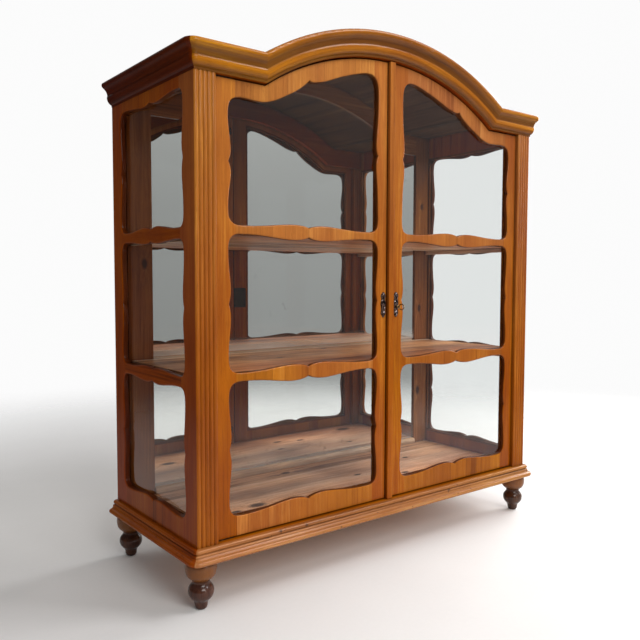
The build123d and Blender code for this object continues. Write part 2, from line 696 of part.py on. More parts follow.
# ---------------------------------------------------------------------------
# doors
# ---------------------------------------------------------------------------
DOOR_T = DOOR_B - DOOR_F
GLASS_F = 22.0          # front of the door glass, against the rebate
GLASS_B = 25.0


def hinge_recesses():
    """Recesses and pin holes at the top and bottom ends of the right hinge stile."""
    for z, s in ((DOOR_Z0, 1), (DOOR_FLAT, -1)):
        with BuildSketch(flat(z)) as recess:
            with Locations(((498.0 + 539.5) / 2, 20.0)):
                Rectangle(41.5, 14.0)
        extrude(recess.sketch, amount=2.5 * s, mode=Mode.SUBTRACT)
        with BuildSketch(flat(z)) as bore:
            with Locations((PIN_X, PIN_D)):
                Circle(3.6)
        extrude(bore.sketch, amount=11.0 * s, mode=Mode.SUBTRACT)


with BuildPart() as right_door_hinge_stile:
    with BuildSketch(front(DOOR_B)):
        box(JOINT_H, DOOR_X, DOOR_Z0, DOOR_FLAT)
        cut_lights(DOOR_LIGHTS)
    extrude(amount=DOOR_T)
    fillet(light_edges(right_door_hinge_stile, "Y", FRONT + DOOR_F), radius=LIGHT_R)
    with BuildSketch(front(DOOR_B)):
        pane_sketch()
    extrude(amount=DOOR_B - GLASS_F, mode=Mode.SUBTRACT)
    hinge_recesses()
finish(right_door_hinge_stile.part, "right_door_hinge_stile")

with BuildPart() as left_door_hinge_stile:
    mirror(right_door_hinge_stile.part, about=Plane.YZ)
finish(left_door_hinge_stile.part, "left_door_hinge_stile")

with BuildPart() as right_door_top_rail:
    with BuildSketch(front(DOOR_B)):
        arch_face(JOINT_M, JOINT_H, 1162.0, R_DOOR, DOOR_FLAT)
        cut_lights([UP_LIGHT])
    extrude(amount=DOOR_T)
    fillet(light_edges(right_door_top_rail, "Y", FRONT + DOOR_F), radius=LIGHT_R)
    with BuildSketch(front(DOOR_B)):
        pane_sketch()
    extrude(amount=DOOR_B - GLASS_F, mode=Mode.SUBTRACT)
finish(right_door_top_rail.part, "right_door_top_rail")

with BuildPart() as left_door_top_rail:
    mirror(right_door_top_rail.part, about=Plane.YZ)
finish(left_door_top_rail.part, "left_door_top_rail")

with BuildPart() as right_door_mid_rails:
    with BuildSketch(front(DOOR_B)):
        box(JOINT_M, JOINT_H, 505.0, 555.0)
        box(JOINT_M, JOINT_H, 849.0, 899.0)
        cut_lights(DOOR_LIGHTS)
    extrude(amount=DOOR_T)
    fillet(light_edges(right_door_mid_rails, "Y", FRONT + DOOR_F), radius=LIGHT_R)
    with BuildSketch(front(DOOR_B)):
        pane_sketch()
    extrude(amount=DOOR_B - GLASS_F, mode=Mode.SUBTRACT)
finish(right_door_mid_rails.part, "right_door_mid_rails")

with BuildPart() as left_door_mid_rails:
    mirror(right_door_mid_rails.part, about=Plane.YZ)
finish(left_door_mid_rails.part, "left_door_mid_rails")

with BuildPart() as right_door_bottom_rail:
    with BuildSketch(front(DOOR_B)):
        box(JOINT_M, JOINT_H, DOOR_Z0, 222.0)
        cut_lights([LOW_LIGHT])
    extrude(amount=DOOR_T)
    fillet(light_edges(right_door_bottom_rail, "Y", FRONT + DOOR_F), radius=LIGHT_R)
    with BuildSketch(front(DOOR_B)):
        pane_sketch()
    extrude(amount=DOOR_B - GLASS_F, mode=Mode.SUBTRACT)
finish(right_door_bottom_rail.part, "right_door_bottom_rail")

with BuildPart() as left_door_bottom_rail:
    mirror(right_door_bottom_rail.part, about=Plane.YZ)
finish(left_door_bottom_rail.part, "left_door_bottom_rail")

LOCK_X0, LOCK_X1 = MEET_R, 36.5
LOCK_Z0, LOCK_Z1 = 655.0, 725.0
with BuildPart() as right_door_meeting_stile:
    with BuildSketch(front(DOOR_B)):
        arch_face(MEET_R, JOINT_M, DOOR_Z0, R_DOOR)
        cut_lights(DOOR_LIGHTS)
    extrude(amount=DOOR_T)
    fillet(light_edges(right_door_meeting_stile, "Y", FRONT + DOOR_F), radius=LIGHT_R)
    with BuildSketch(front(DOOR_B)):
        pane_sketch()
    extrude(amount=DOOR_B - GLASS_F, mode=Mode.SUBTRACT)
    # bed for the lock
    with BuildSketch(front(DOOR_B)):
        box(LOCK_X0, LOCK_X1, LOCK_Z0, LOCK_Z1)
    extrude(amount=DOOR_B - GLASS_F, mode=Mode.SUBTRACT)
    # keyhole through the wood
    with BuildSketch(front(DOOR_B)):
        with Locations((KEY_X, KEY_Z)):
            Circle(3.6)
        box(KEY_X - 2.0, KEY_X + 2.0, KEY_Z - 10.0, KEY_Z)
    extrude(amount=DOOR_T, mode=Mode.SUBTRACT)
finish(right_door_meeting_stile.part, "right_door_meeting_stile")

# raised strip glued on the face of the right door, along its meeting edge
with BuildPart() as meeting_strip:
    with BuildSketch(front(DOOR_F)):
        arch_face(MEET_R, STRIP_X, Z_LEDGE + 1.0, R_DOOR + 1.5)
    extrude(amount=DOOR_F - STRIP_D)
    fillet([e for e in meeting_strip.part.edges().filter_by(Axis.Z) if abs(e.center().Y - (FRONT + STRIP_D)) < 0.01],
           radius=1.4)
finish(meeting_strip.part, "meeting_strip")

TOP_BOLT_Z = (1262.0, 1335.5)
BOT_BOLT_Z = (157.0, 228.0)
BOLT_TRAVEL = 12.0
with BuildPart() as left_door_meeting_stile:
    with BuildSketch(front(DOOR_B)):
        arch_face(-JOINT_M, MEET_L, DOOR_Z0, R_DOOR)
        cut_lights([mirrored(c) for c in DOOR_LIGHTS])
    extrude(amount=DOOR_T)
    fillet(light_edges(left_door_meeting_stile, "Y", FRONT + DOOR_F), radius=LIGHT_R)
    with BuildSketch(front(DOOR_B)):
        pane_sketch(sign=-1)
    extrude(amount=DOOR_B - GLASS_F, mode=Mode.SUBTRACT)
    # bores and slots for the two sliding bolts
    with BuildSketch(flat(TOP_BOLT_Z[0] - 1.0)):
        with Locations((BOLT_X, BOLT_D)):
            Circle(BOLT_R + 0.3)
    extrude(amount=100.0, mode=Mode.SUBTRACT)
    with BuildSketch(flat(DOOR_Z0)):
        with Locations((BOLT_X, BOLT_D)):
            Circle(BOLT_R + 0.3)
    extrude(amount=BOT_BOLT_Z[1] + 1.0 - DOOR_Z0, mode=Mode.SUBTRACT)
    with BuildSketch(front(DOOR_B)):
        box(BOLT_X - 4.1, BOLT_X + 4.1, 1270.0, 1294.0)
        box(BOLT_X - 4.1, BOLT_X + 4.1, 196.0, 220.0)
    extrude(amount=DOOR_B - BOLT_D, mode=Mode.SUBTRACT)
    # mortise for the lock bolt
    with BuildSketch(front(29.5)):
        box(MEET_L - 10.0, MEET_L + 1.0, 697.0, 707.0)
    extrude(amount=5.0, mode=Mode.SUBTRACT)
finish(left_door_meeting_stile.part, "left_door_meeting_stile")

# door glass, three panes each
with BuildPart() as right_door_glass:
    with BuildSketch(front(GLASS_B)):
        pane_sketch(0.5)
    extrude(amount=GLASS_B - GLASS_F)
finish(right_door_glass.part, "right_door_glass")

with BuildPart() as left_door_glass:
    mirror(right_door_glass.part, about=Plane.YZ)
finish(left_door_glass.part, "left_door_glass")


def bead_strips(x0, x1, z0, z1, w):
    g = 0.15
    for quad in (((x0, z0), (x1, z0), (x1 - w, z0 + w), (x0 + w, z0 + w), (g, 0)),
                 ((x1, z0), (x1, z1), (x1 - w, z1 - w), (x1 - w, z0 + w), (0, g)),
                 ((x1, z1), (x0, z1), (x0 + w, z1 - w), (x1 - w, z1 - w), (g, 0)),
                 ((x0, z1), (x0, z0), (x0 + w, z0 + w), (x0 + w, z1 - w), (0, g))):
        cx = sum(p[0] for p in quad[:4]) / 4
        cz = sum(p[1] for p in quad[:4]) / 4
        gx, gz = quad[4]
        with BuildLine() as outline:
            Polyline(*[(p[0] - math.copysign(gx, p[0] - cx), p[1] - math.copysign(gz, p[1] - cz)) for p in quad[:4]],
                     close=True)
        make_face(outline.edges())


with BuildPart() as right_door_beads:
    with BuildSketch(front(DOOR_B)):
        for z0, z1 in DOOR_PANES:
            bead_strips(PANE_X0, PANE_X1, z0, z1, BEAD_W)
        # upper light: straight strips at the sides and foot, a bent one on top
        w, g = BEAD_W, 0.2
        xa, xb, za = PANE_X0, PANE_X1, UP_PANE_Z0
        with BuildLine():
            Polyline((xa + g, za), (xb - g, za), (xb - w - g, za + w), (xa + w + g, za + w), close=True)
        make_face()
        with BuildLine():
            Polyline((xb, za + g), (xb, Z_PANE - w - g), (xb - w, Z_PANE - w - g), (xb - w, za + w + g), close=True)
        make_face()
        with BuildLine():
            Polyline((xa, za + g), (xa + w, za + w + g), (xa + w, arc_z(R_PANE - w, xa + w) - g),
                     (xa, arc_z(R_PANE - w, xa) - g), close=True)
        make_face()
        with BuildLine():
            xo, xi = arc_x(R_PANE, Z_PANE), arc_x(R_PANE - w, Z_PANE - w)
            Polyline((xa, arc_z(R_PANE - w, xa)), (xa, arc_z(R_PANE, xa)))
            ThreePointArc((xa, arc_z(R_PANE, xa)), (220, arc_z(R_PANE, 220)), (xo, Z_PANE))
            Polyline((xo, Z_PANE), (xb, Z_PANE), (xb, Z_PANE - w), (xi, Z_PANE - w))
            ThreePointArc((xi, Z_PANE - w), (220, arc_z(R_PANE - w, 220)), (xa, arc_z(R_PANE - w, xa)))
        make_face()
    extrude(amount=DOOR_B - GLASS_B - 0.1)
finish(right_door_beads.part, "right_door_beads")

with BuildPart() as left_door_beads:
    mirror(right_door_beads.part, about=Plane.YZ)
finish(left_door_beads.part, "left_door_beads")

# ---------------------------------------------------------------------------
# hinges: pins on plates let into the case, sockets on plates let into the doors
# ---------------------------------------------------------------------------
with BuildPart() as hinge_pin_plates:
    for z, s in ((Z_LEDGE, 1), (Z_SPRING, -1)):
        with BuildSketch(flat(z)):
            with Locations(((498.0 + 539.5) / 2, 20.0)):
                Rectangle(41.5, 14.0)
        extrude(amount=2.4 * s)
        with BuildSketch(flat(z + 2.4 * s)):
            with Locations((PIN_X, PIN_D)):
                Circle(5.0)
        extrude(amount=(1.4 if s > 0 else 1.4) * s)
        with BuildSketch(flat(z + 2.4 * s)):
            with Locations((PIN_X, PIN_D)):
                Circle(PIN_R)
        extrude(amount=10.0 * s)
    mirror(about=Plane.YZ)
finish(hinge_pin_plates.part, "hinge_pin_plates")

with BuildPart() as right_door_hinge_plates:
    for z, s in ((DOOR_Z0, 1), (DOOR_FLAT, -1)):
        with BuildSketch(flat(z)):
            with Locations(((498.0 + 539.5) / 2, 20.0)):
                Rectangle(41.5, 14.0)
            with Locations((PIN_X, PIN_D)):
                Circle(PIN_R + PIN_FIT, mode=Mode.SUBTRACT)
        extrude(amount=2.5 * s)
finish(right_door_hinge_plates.part, "right_door_hinge_plates")

with BuildPart() as left_door_hinge_plates:
    mirror(right_door_hinge_plates.part, about=Plane.YZ)
finish(left_door_hinge_plates.part, "left_door_hinge_plates")


# ---------------------------------------------------------------------------
# escutcheons, lock, key, bolts
# ---------------------------------------------------------------------------
def escutcheon_outline(cx, cz, k=1.0):
    """A tall shield with scrolled lobes, 20 by 70; k scales its width."""
    with BuildLine() as outline:
        half_pts = [(0, 35), (3.6, 33.2), (5.2, 29.0), (7.6, 27.6), (9.4, 24.0), (8.0, 19.5), (6.4, 16.0),
                    (8.2, 10.5), (10.0, 4.0), (9.4, -4.0), (7.2, -10.0), (6.6, -15.0), (8.8, -19.0),
                    (9.2, -23.5), (6.6, -27.2), (4.2, -30.0), (2.4, -33.4), (0, -35)]
        right = [(cx + k * x, cz + z) for x, z in half_pts]
        left = [(cx - k * x, cz + z) for x, z in half_pts]
        Spline(*right)
        Spline(*left)
    make_face(outline.edges())


with BuildPart() as right_escutcheon:
    with BuildSketch(front(DOOR_F)):
        escutcheon_outline(KEY_X, ESC_Z)
        with Locations((KEY_X, KEY_Z)):
            Circle(3.3, mode=Mode.SUBTRACT)
        with Locations((KEY_X, KEY_Z - 5.0)):
            Rectangle(3.4, 10.0, mode=Mode.SUBTRACT)
    extrude(amount=PLATE_T)
finish(right_escutcheon.part, "right_escutcheon")

with BuildPart() as left_escutcheon:
    with BuildSketch(front(DOOR_F)):
        escutcheon_outline(ESC_LX, ESC_Z, 0.96)
        with Locations((ESC_LX, KEY_Z)):
            Circle(2.6, mode=Mode.SUBTRACT)
        with Locations((ESC_LX, KEY_Z - 4.5)):
            Rectangle(2.8, 9.0, mode=Mode.SUBTRACT)
    extrude(amount=PLATE_T)
finish(left_escutcheon.part, "left_escutcheon")

CHAN_Z0, CHAN_Z1 = 698.0, 706.0
with BuildPart() as lock_case:
    with BuildSketch(front(32.6)):
        box(LOCK_X0 + 0.1, LOCK_X1 - 0.1, LOCK_Z0 + 0.1, LOCK_Z1 - 0.1)
    extrude(amount=32.6 - GLASS_F)
    # chamber that the key's bit turns in
    with BuildSketch(front(30.2)):
        with Locations((KEY_X, KEY_Z)):
            Circle(10.2)
    extrude(amount=6.2, mode=Mode.SUBTRACT)
    # keyhole in the front plate
    with BuildSketch(front(25.0)):
        with Locations((KEY_X, KEY_Z)):
            Circle(3.4)
        box(KEY_X - 2.0, KEY_X + 2.0, KEY_Z - 10.0, KEY_Z)
    extrude(amount=4.0, mode=Mode.SUBTRACT)
    # channel for the bolt
    with BuildSketch(front(29.0)):
        box(LOCK_X0 - 1.0, 22.0, CHAN_Z0 - 0.15, CHAN_Z1 + 0.15)
    extrude(amount=4.0, mode=Mode.SUBTRACT)
finish(lock_case.part, "lock_case")

with BuildPart() as lock_bolt:
    with BuildSketch(front(28.85)):
        box(LOCK_X0 + 0.2, 20.0, CHAN_Z0, CHAN_Z1)
    extrude(amount=3.7)
finish(lock_bolt.part, "lock_bolt")

with BuildPart() as key:
    # shank
    with BuildSketch(front(29.6)):
        with Locations((KEY_X, KEY_Z)):
            Circle(2.5)
    extrude(amount=34.0)
    # collar
    with BuildSketch(front(4.0)):
        with Locations((KEY_X, KEY_Z)):
            Circle(4.0)
    extrude(amount=3.0)
    # bit
    with BuildSketch(front(29.2)):
        box(KEY_X - 1.2, KEY_X + 1.2, KEY_Z - 8.6, KEY_Z)
    extrude(amount=4.4)
    # bow: an oval ring in the upright plane of the shank
    with BuildSketch(Plane(origin=(KEY_X - 1.7, FRONT, 0), x_dir=(0, 1, 0), z_dir=(1, 0, 0))):
        with Locations((-12.2, KEY_Z)):
            Ellipse(10.8, 9.2)
            Ellipse(7.2, 5.6, mode=Mode.SUBTRACT)
    extrude(amount=3.4)
finish(key.part, "key")

with BuildPart() as left_door_top_bolt:
    with BuildSketch(flat(TOP_BOLT_Z[0])):
        with Locations((BOLT_X, BOLT_D)):
            Circle(BOLT_R)
    extrude(amount=TOP_BOLT_Z[1] - TOP_BOLT_Z[0])
    with BuildSketch(front(37.5)):
        with Locations((BOLT_X, 1275.5)):
            Circle(3.4)
    extrude(amount=37.5 - BOLT_D)
finish(left_door_top_bolt.part, "left_door_top_bolt")

with BuildPart() as left_door_bottom_bolt:
    with BuildSketch(flat(BOT_BOLT_Z[0])):
        with Locations((BOLT_X, BOLT_D)):
            Circle(BOLT_R)
    extrude(amount=BOT_BOLT_Z[1] - BOT_BOLT_Z[0])
    with BuildSketch(front(37.5)):
        with Locations((BOLT_X, 214.5)):
            Circle(3.4)
    extrude(amount=37.5 - BOLT_D)
finish(left_door_bottom_bolt.part, "left_door_bottom_bolt")
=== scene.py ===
import math
import random

import bmesh
import bpy
from mathutils import Matrix, Vector


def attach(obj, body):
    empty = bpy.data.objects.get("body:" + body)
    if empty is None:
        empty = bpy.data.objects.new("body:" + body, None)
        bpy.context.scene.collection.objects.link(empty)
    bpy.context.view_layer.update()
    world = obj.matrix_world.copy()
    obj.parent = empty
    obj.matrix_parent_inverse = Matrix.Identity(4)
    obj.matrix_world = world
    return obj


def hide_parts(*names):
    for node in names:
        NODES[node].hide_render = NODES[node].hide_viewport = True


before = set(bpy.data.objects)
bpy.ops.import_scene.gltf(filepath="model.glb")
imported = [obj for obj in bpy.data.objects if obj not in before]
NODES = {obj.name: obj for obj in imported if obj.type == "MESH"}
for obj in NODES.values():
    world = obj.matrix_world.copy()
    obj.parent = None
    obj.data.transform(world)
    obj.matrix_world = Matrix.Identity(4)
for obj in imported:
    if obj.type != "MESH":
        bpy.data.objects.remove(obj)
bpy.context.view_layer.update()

scene = bpy.context.scene
scene.view_settings.view_transform = "Standard"
scene.view_settings.look = "None"

# ---------------------------------------------------------------------------
# sizes shared with the solid model, in metres
# ---------------------------------------------------------------------------
FRONT = -0.2165         # front face of the posts
DOOR_FACE = FRONT + 0.011
ARC_Z = 0.615           # centre of the arch
KEY_X, KEY_Z = 0.022, 0.684
ESC_Z = 0.690
ESC_LX, ESC_RX = -0.0256, 0.022


def lin(c):
    """8-bit sRGB to linear RGBA."""
    out = []
    for v in c[:3]:
        v = v / 255.0
        out.append(v / 12.92 if v <= 0.04045 else ((v + 0.055) / 1.055) ** 2.4)
    return (out[0], out[1], out[2], 1.0)


# ---------------------------------------------------------------------------
# a small helper for node materials
# ---------------------------------------------------------------------------
class Net:
    def __init__(self, name):
        self.mat = bpy.data.materials.new(name)
        self.mat.use_nodes = True
        self.tree = self.mat.node_tree
        self.tree.nodes.clear()
        self.out = self.node("ShaderNodeOutputMaterial")
        self.coord = self.node("ShaderNodeTexCoord")
        self.p = self.coord.outputs["Object"]
        self.n = self.coord.outputs["Normal"]

    def node(self, kind, **props):
        n = self.tree.nodes.new(kind)
        for k, v in props.items():
            setattr(n, k, v)
        return n

    def put(self, socket, value):
        if value is None:
            return
        if hasattr(value, "is_output"):
            self.tree.links.new(value, socket)
        else:
            socket.default_value = value

    def math(self, op, a, b=None, c=None, clamp=False):
        n = self.node("ShaderNodeMath", operation=op, use_clamp=clamp)
        self.put(n.inputs[0], a)
        self.put(n.inputs[1], b)
        self.put(n.inputs[2], c)
        return n.outputs[0]

    def add(self, a, b):
        return self.math("ADD", a, b)

    def mul(self, a, b):
        return self.math("MULTIPLY", a, b)

    def split(self, v):
        n = self.node("ShaderNodeSeparateXYZ")
        self.put(n.inputs[0], v)
        return n.outputs[0], n.outputs[1], n.outputs[2]

    def join(self, x, y, z):
        n = self.node("ShaderNodeCombineXYZ")
        self.put(n.inputs[0], x)
        self.put(n.inputs[1], y)
        self.put(n.inputs[2], z)
        return n.outputs[0]

    def vadd(self, a, b):
        n = self.node("ShaderNodeVectorMath", operation="ADD")
        self.put(n.inputs[0], a)
        self.put(n.inputs[1], b)
        return n.outputs[0]

    def vmul(self, a, b):
        n = self.node("ShaderNodeVectorMath", operation="MULTIPLY")
        self.put(n.inputs[0], a)
        self.put(n.inputs[1], b)
        return n.outputs[0]

    def noise(self, v, scale=1.0, detail=3.0, rough=0.5, distort=0.0, colour=False):
        n = self.node("ShaderNodeTexNoise")
        self.put(n.inputs["Vector"], v)
        n.inputs["Scale"].default_value = scale
        n.inputs["Detail"].default_value = detail
        n.inputs["Roughness"].default_value = rough
        n.inputs["Distortion"].default_value = distort
        return n.outputs["Color" if colour else "Fac"]

    def voronoi(self, v, scale=1.0, feature="F1", out="Distance", rand=1.0):
        n = self.node("ShaderNodeTexVoronoi", feature=feature)
        self.put(n.inputs["Vector"], v)
        n.inputs["Scale"].default_value = scale
        n.inputs["Randomness"].default_value = rand
        return n.outputs[out]

    def remap(self, v, a, b, c=0.0, d=1.0, smooth=False):
        n = self.node("ShaderNodeMapRange", clamp=True)
        n.interpolation_type = "SMOOTHSTEP" if smooth else "LINEAR"
        self.put(n.inputs["Value"], v)
        n.inputs["From Min"].default_value = a
        n.inputs["From Max"].default_value = b
        n.inputs["To Min"].default_value = c
        n.inputs["To Max"].default_value = d
        return n.outputs["Result"]

    def ramp(self, v, stops, mode="LINEAR"):
        n = self.node("ShaderNodeValToRGB")
        n.color_ramp.interpolation = mode
        els = n.color_ramp.elements
        while len(els) < len(stops):
            els.new(0.5)
        for e, (pos, col) in zip(els, sorted(stops, key=lambda s: s[0])):
            e.position = pos
            e.color = col
        self.put(n.inputs[0], v)
        return n.outputs[0]

    def mix(self, fac, a, b, blend="MIX"):
        n = self.node("ShaderNodeMix", data_type="RGBA", blend_type=blend, clamp_factor=True)
        self.put(n.inputs[0], fac)
        self.put(n.inputs[6], a)
        self.put(n.inputs[7], b)
        return n.outputs[2]

    def hsv(self, colour, hue=0.5, sat=1.0, val=1.0):
        n = self.node("ShaderNodeHueSaturation")
        self.put(n.inputs["Hue"], hue)
        self.put(n.inputs["Saturation"], sat)
        self.put(n.inputs["Value"], val)
        self.put(n.inputs["Color"], colour)
        return n.outputs[0]

    def bump(self, height, strength=0.3, distance=0.001, normal=None):
        n = self.node("ShaderNodeBump")
        n.inputs["Strength"].default_value = strength
        n.inputs["Distance"].default_value = distance
        self.put(n.inputs["Height"], height)
        self.put(n.inputs["Normal"], normal)
        return n.outputs[0]

    def crevice(self, distance=0.01, samples=4):
        """1 in the open, towards 0 deep in a corner."""
        n = self.node("ShaderNodeAmbientOcclusion", samples=samples, only_local=False)
        n.inputs["Distance"].default_value = distance
        return n.outputs["AO"]

    def principled(self, colour, rough, normal=None, metallic=0.0, coat=0.0, coat_rough=0.1, ior=1.5, spec=0.5):
        s = self.node("ShaderNodeBsdfPrincipled")
        self.put(s.inputs["Base Color"], colour)
        self.put(s.inputs["Roughness"], rough)
        self.put(s.inputs["Metallic"], metallic)
        self.put(s.inputs["Normal"], normal)
        s.inputs["Coat Weight"].default_value = coat
        s.inputs["Coat Roughness"].default_value = coat_rough
        s.inputs["IOR"].default_value = ior
        s.inputs["Specular IOR Level"].default_value = spec
        self.tree.links.new(s.outputs[0], self.out.inputs[0])
        return s


def grey(v):
    return (v, v, v, 1.0)


def steps(net, value, cuts, low, high, seed):
    """A random grey for each stretch between the cuts along a coordinate."""
    rng = random.Random(seed)
    span = high - low
    t = net.remap(value, low, high)
    stops = [(0.0, grey(rng.random()))]
    last = stops[0][1][0]
    for c in sorted(cuts):
        g = rng.random()
        while abs(g - last) < 0.22:
            g = rng.random()
        last = g
        stops.append(((c - low) / span, grey(g)))
    return net.ramp(t, stops[:31], "CONSTANT")


VARNISH = {
    "door": ((126, 58, 6), (164, 85, 10), (196, 120, 32)),
    "post": ((118, 58, 8), (158, 84, 12), (192, 122, 40)),
    # the side palette is darker than the front partly as painted shade for the sides turned from the light; the still
    # darker one below it, for the cornice flanks, is more painted shade
    "side": ((92, 35, 3), (146, 63, 7), (170, 84, 14)),
    "dusk": ((50, 14, 3), (88, 28, 4), (112, 44, 10)),
    "mould": ((84, 42, 4), (152, 88, 16), (194, 128, 42)),
    "base": ((98, 52, 18), (172, 108, 54), (212, 158, 104)),
    "rail": ((136, 72, 18), (170, 98, 28), (196, 126, 50)),
    "foot": ((30, 15, 10), (66, 36, 24), (92, 56, 38)),
    "bead": ((66, 30, 8), (118, 62, 20), (146, 86, 36)),
    "back": ((80, 42, 14), (136, 78, 34), (170, 112, 60)),
    "pine": ((112, 78, 52), (214, 176, 144), (246, 224, 200)),
    "roof": ((40, 24, 14), (86, 56, 34), (122, 86, 56)),
}


def wood(name, tone, grain="Z", seed=1, cuts=None, cut_axis="X", flat_axis=None, reach=0.016, cloudy=1.0, coat=0.22, coat_rough=0.10,
         rough=0.55, figure=1.0, spec=0.03, front_tint=None, side_tone=None, cup=False, painted_moulding_light=False, front_board=None, pores=1.0, knots=(), knot_plane="XY", joints=(), joint_axis="Y", corner_dirt_and_shade=0.55,
         rise=0.0, wear=0.5, marks=0.0, bow=1.0):
    """Varnished or bare wood. grain: the axis it runs along, or ARC for round the arch.
    cuts: veneer joints along cut_axis. flat_axis: the axis the face looks along, so that what turns
    away from it is darkened as an inner edge, partly stain and partly painted shade. joints: board joints. rise: how
    much paler it is higher up, a painted light from above."""
    net = Net(name)
    x, y, z = net.split(net.p)
    rng = random.Random(seed * 7919 + 13)
    axis = {"X": x, "Y": y, "Z": z}
    # u, v run across the grain and w along it
    if grain == "Z":
        u, v, w = x, y, z
    elif grain == "X":
        u, v, w = y, z, x
    elif grain == "Y":
        u, v, w = x, z, y
    else:
        zc = net.add(z, -ARC_Z)
        rad = net.math("SQRT", net.add(net.mul(x, x), net.mul(zc, zc)))
        ang = net.math("ARCTAN2", x, zc)
        edge = net.math("GREATER_THAN", net.math("ABSOLUTE", x), net.add(0.4091, net.mul(net.add(z, -1.216), 0.3)))
        u = net.node("ShaderNodeMix", data_type="FLOAT")
        net.put(u.inputs[0], edge)
        net.put(u.inputs[2], rad)
        net.put(u.inputs[3], net.add(z, -0.489))
        u = u.outputs[0]
        w_ = net.node("ShaderNodeMix", data_type="FLOAT")
        net.put(w_.inputs[0], edge)
        net.put(w_.inputs[2], net.mul(ang, 0.75))
        net.put(w_.inputs[3], net.mul(x, 1.09))
        v, w = y, w_.outputs[0]
    off = (rng.uniform(-3, 3), rng.uniform(-3, 3), rng.uniform(-3, 3))
    seg = seam = None
    if cuts:
        c = axis[cut_axis]
        lo, hi = min(cuts) - 0.3, max(cuts) + 0.3
        seg = steps(net, c, cuts, lo, hi, seed + 5)
        seg2 = steps(net, net.add(c, 0.0006), cuts, lo, hi, seed + 5)
        seam = net.math("GREATER_THAN", net.math("ABSOLUTE", net.math("SUBTRACT", seg, seg2)), 0.02)
    jseg = jseam = None
    if joints:
        c = axis[joint_axis]
        lo, hi = min(joints) - 0.3, max(joints) + 0.3
        jseg = steps(net, c, joints, lo, hi, seed + 9)
        jseg2 = steps(net, net.add(c, 0.0012), joints, lo, hi, seed + 9)
        jseam = net.math("GREATER_THAN", net.math("ABSOLUTE", net.math("SUBTRACT", jseg, jseg2)), 0.02)
    base = net.vadd(net.join(u, v, w), off)
    for s in (seg, jseg):
        if s is not None:
            base = net.vadd(base, net.join(net.mul(s, 5.1), net.mul(s, 3.3), net.mul(s, 9.7)))
    # knots pull the grain round them and darken their middle
    knot_mask = None
    pull = None
    for ka, kb, kr in knots:
        a, b = (x, y) if knot_plane == "XY" else (x, z)
        if grain == "Z":
            da, db = net.add(a, -ka), net.mul(net.add(b, -kb), 0.55)
        else:
            da, db = net.mul(net.add(a, -ka), 0.55), net.add(b, -kb)
        dist = net.math("SQRT", net.add(net.mul(da, da), net.mul(db, db)))
        m = net.remap(dist, kr * 1.0, kr * 0.45, smooth=True)
        knot_mask = m if knot_mask is None else net.math("MAXIMUM", knot_mask, m)
        g = net.math("DIVIDE", kr * kr * 0.9, net.add(net.mul(dist, dist), kr * kr))
        side = db if grain != "Z" else da
        push = net.mul(net.math("SIGN", side), net.mul(g, kr * 1.6))
        pull = push if pull is None else net.add(pull, push)
    if pull is not None:
        base = net.vadd(base, net.join(pull, pull, 0.0))
    # slow bends of the grain
    bend = net.noise(net.vmul(base, (2.2, 2.2, 1.3)), 1.0, 2.0, 0.5, colour=True)
    bent = net.vadd(base, net.vmul(net.vadd(bend, (-0.5, -0.5, -0.5)), (0.030 * bow, 0.030 * bow, 0.0)))
    fig = net.noise(net.vmul(bent, (20 * figure, 20 * figure, 0.9)), 1.0, 3.5, 0.55)
    rings = net.math("SINE", net.mul(fig, 92.0))
    rings = net.remap(rings, -1.0, 1.0)
    rings = net.math("POWER", rings, 2.2)
    streak = net.noise(net.vmul(bent, (150, 150, 3.2)), 1.0, 4.0, 0.62)
    fine = net.noise(net.vmul(bent, (620, 620, 14)), 1.0, 3.0, 0.6)
    pore = net.noise(net.vmul(bent, (1500, 1500, 42)), 1.0, 2.0, 0.5)
    pore = net.remap(pore, 0.60, 0.70)
    slow = net.noise(net.vmul(base, (3.5, 3.5, 1.5)), 1.0, 2.0, 0.5)
    dark, mid, light = (lin(c) for c in VARNISH[tone])
    t = net.add(net.mul(fig, 0.54), net.mul(streak, 0.50))
    t = net.add(t, net.mul(net.add(slow, -0.5), 0.30))
    if seg is not None:
        t = net.add(t, net.mul(net.add(seg, -0.5), 0.08))
    if jseg is not None:
        t = net.add(t, net.mul(net.add(jseg, -0.5), 0.16))
    colour = net.ramp(t, [(0.30, dark), (0.50, mid), (0.74, light)], "EASE")
    if side_tone:
        # the flanks are darker than the front: partly their stain, partly painted shade for the sides turned from the
        # light
        sd, sm, sl = (lin(c) for c in VARNISH[side_tone])
        painted_flank_shade = net.mul(net.remap(net.math("ABSOLUTE", net.split(net.n)[0]), 0.72, 0.90, smooth=True),
                        net.remap(net.math("ABSOLUTE", x), 0.5965, 0.5975))
        colour = net.mix(painted_flank_shade, colour, net.ramp(t, [(0.30, sd), (0.50, sm), (0.74, sl)], "EASE"))
    colour = net.mix(net.mul(rings, 0.26 * min(1.0, figure + 0.2)), colour,
                     net.mix(0.5, lin(VARNISH[tone][0]), lin(VARNISH[tone][1])))
    colour = net.mix(net.remap(fine, 0.42, 0.68, 0.0, 0.26), colour, dark)
    colour = net.mix(net.mul(pore, 0.45 * pores), colour, lin([c * 0.6 for c in VARNISH[tone][0]]))
    # tone drifts between warm orange and a pinker tan
    drift = net.noise(net.vmul(net.vadd(net.join(u, v, w), off), (1.6, 1.6, 1.0)), 1.0, 1.0, 0.5)
    colour = net.hsv(colour, hue=net.remap(drift, 0.3, 0.7, 0.494, 0.505), sat=net.remap(drift, 0.3, 0.7, 0.985, 1.03))
    if rise:
        # painted light: paler and a little less saturated higher up, as if lit from above
        high = net.remap(z, 0.35, 1.20, smooth=True)
        colour = net.hsv(colour, hue=net.add(0.5, net.mul(high, 0.006 * rise)), sat=net.add(1.0, net.mul(high, -0.045 * rise)),
                         val=net.add(0.94, net.mul(high, 0.14 * rise)))
    if name.startswith("right_") and tone in ("door", "rail"):
        # this door kept a deeper tone
        colour = net.hsv(colour, hue=0.4965, val=0.89)
    if front_board:
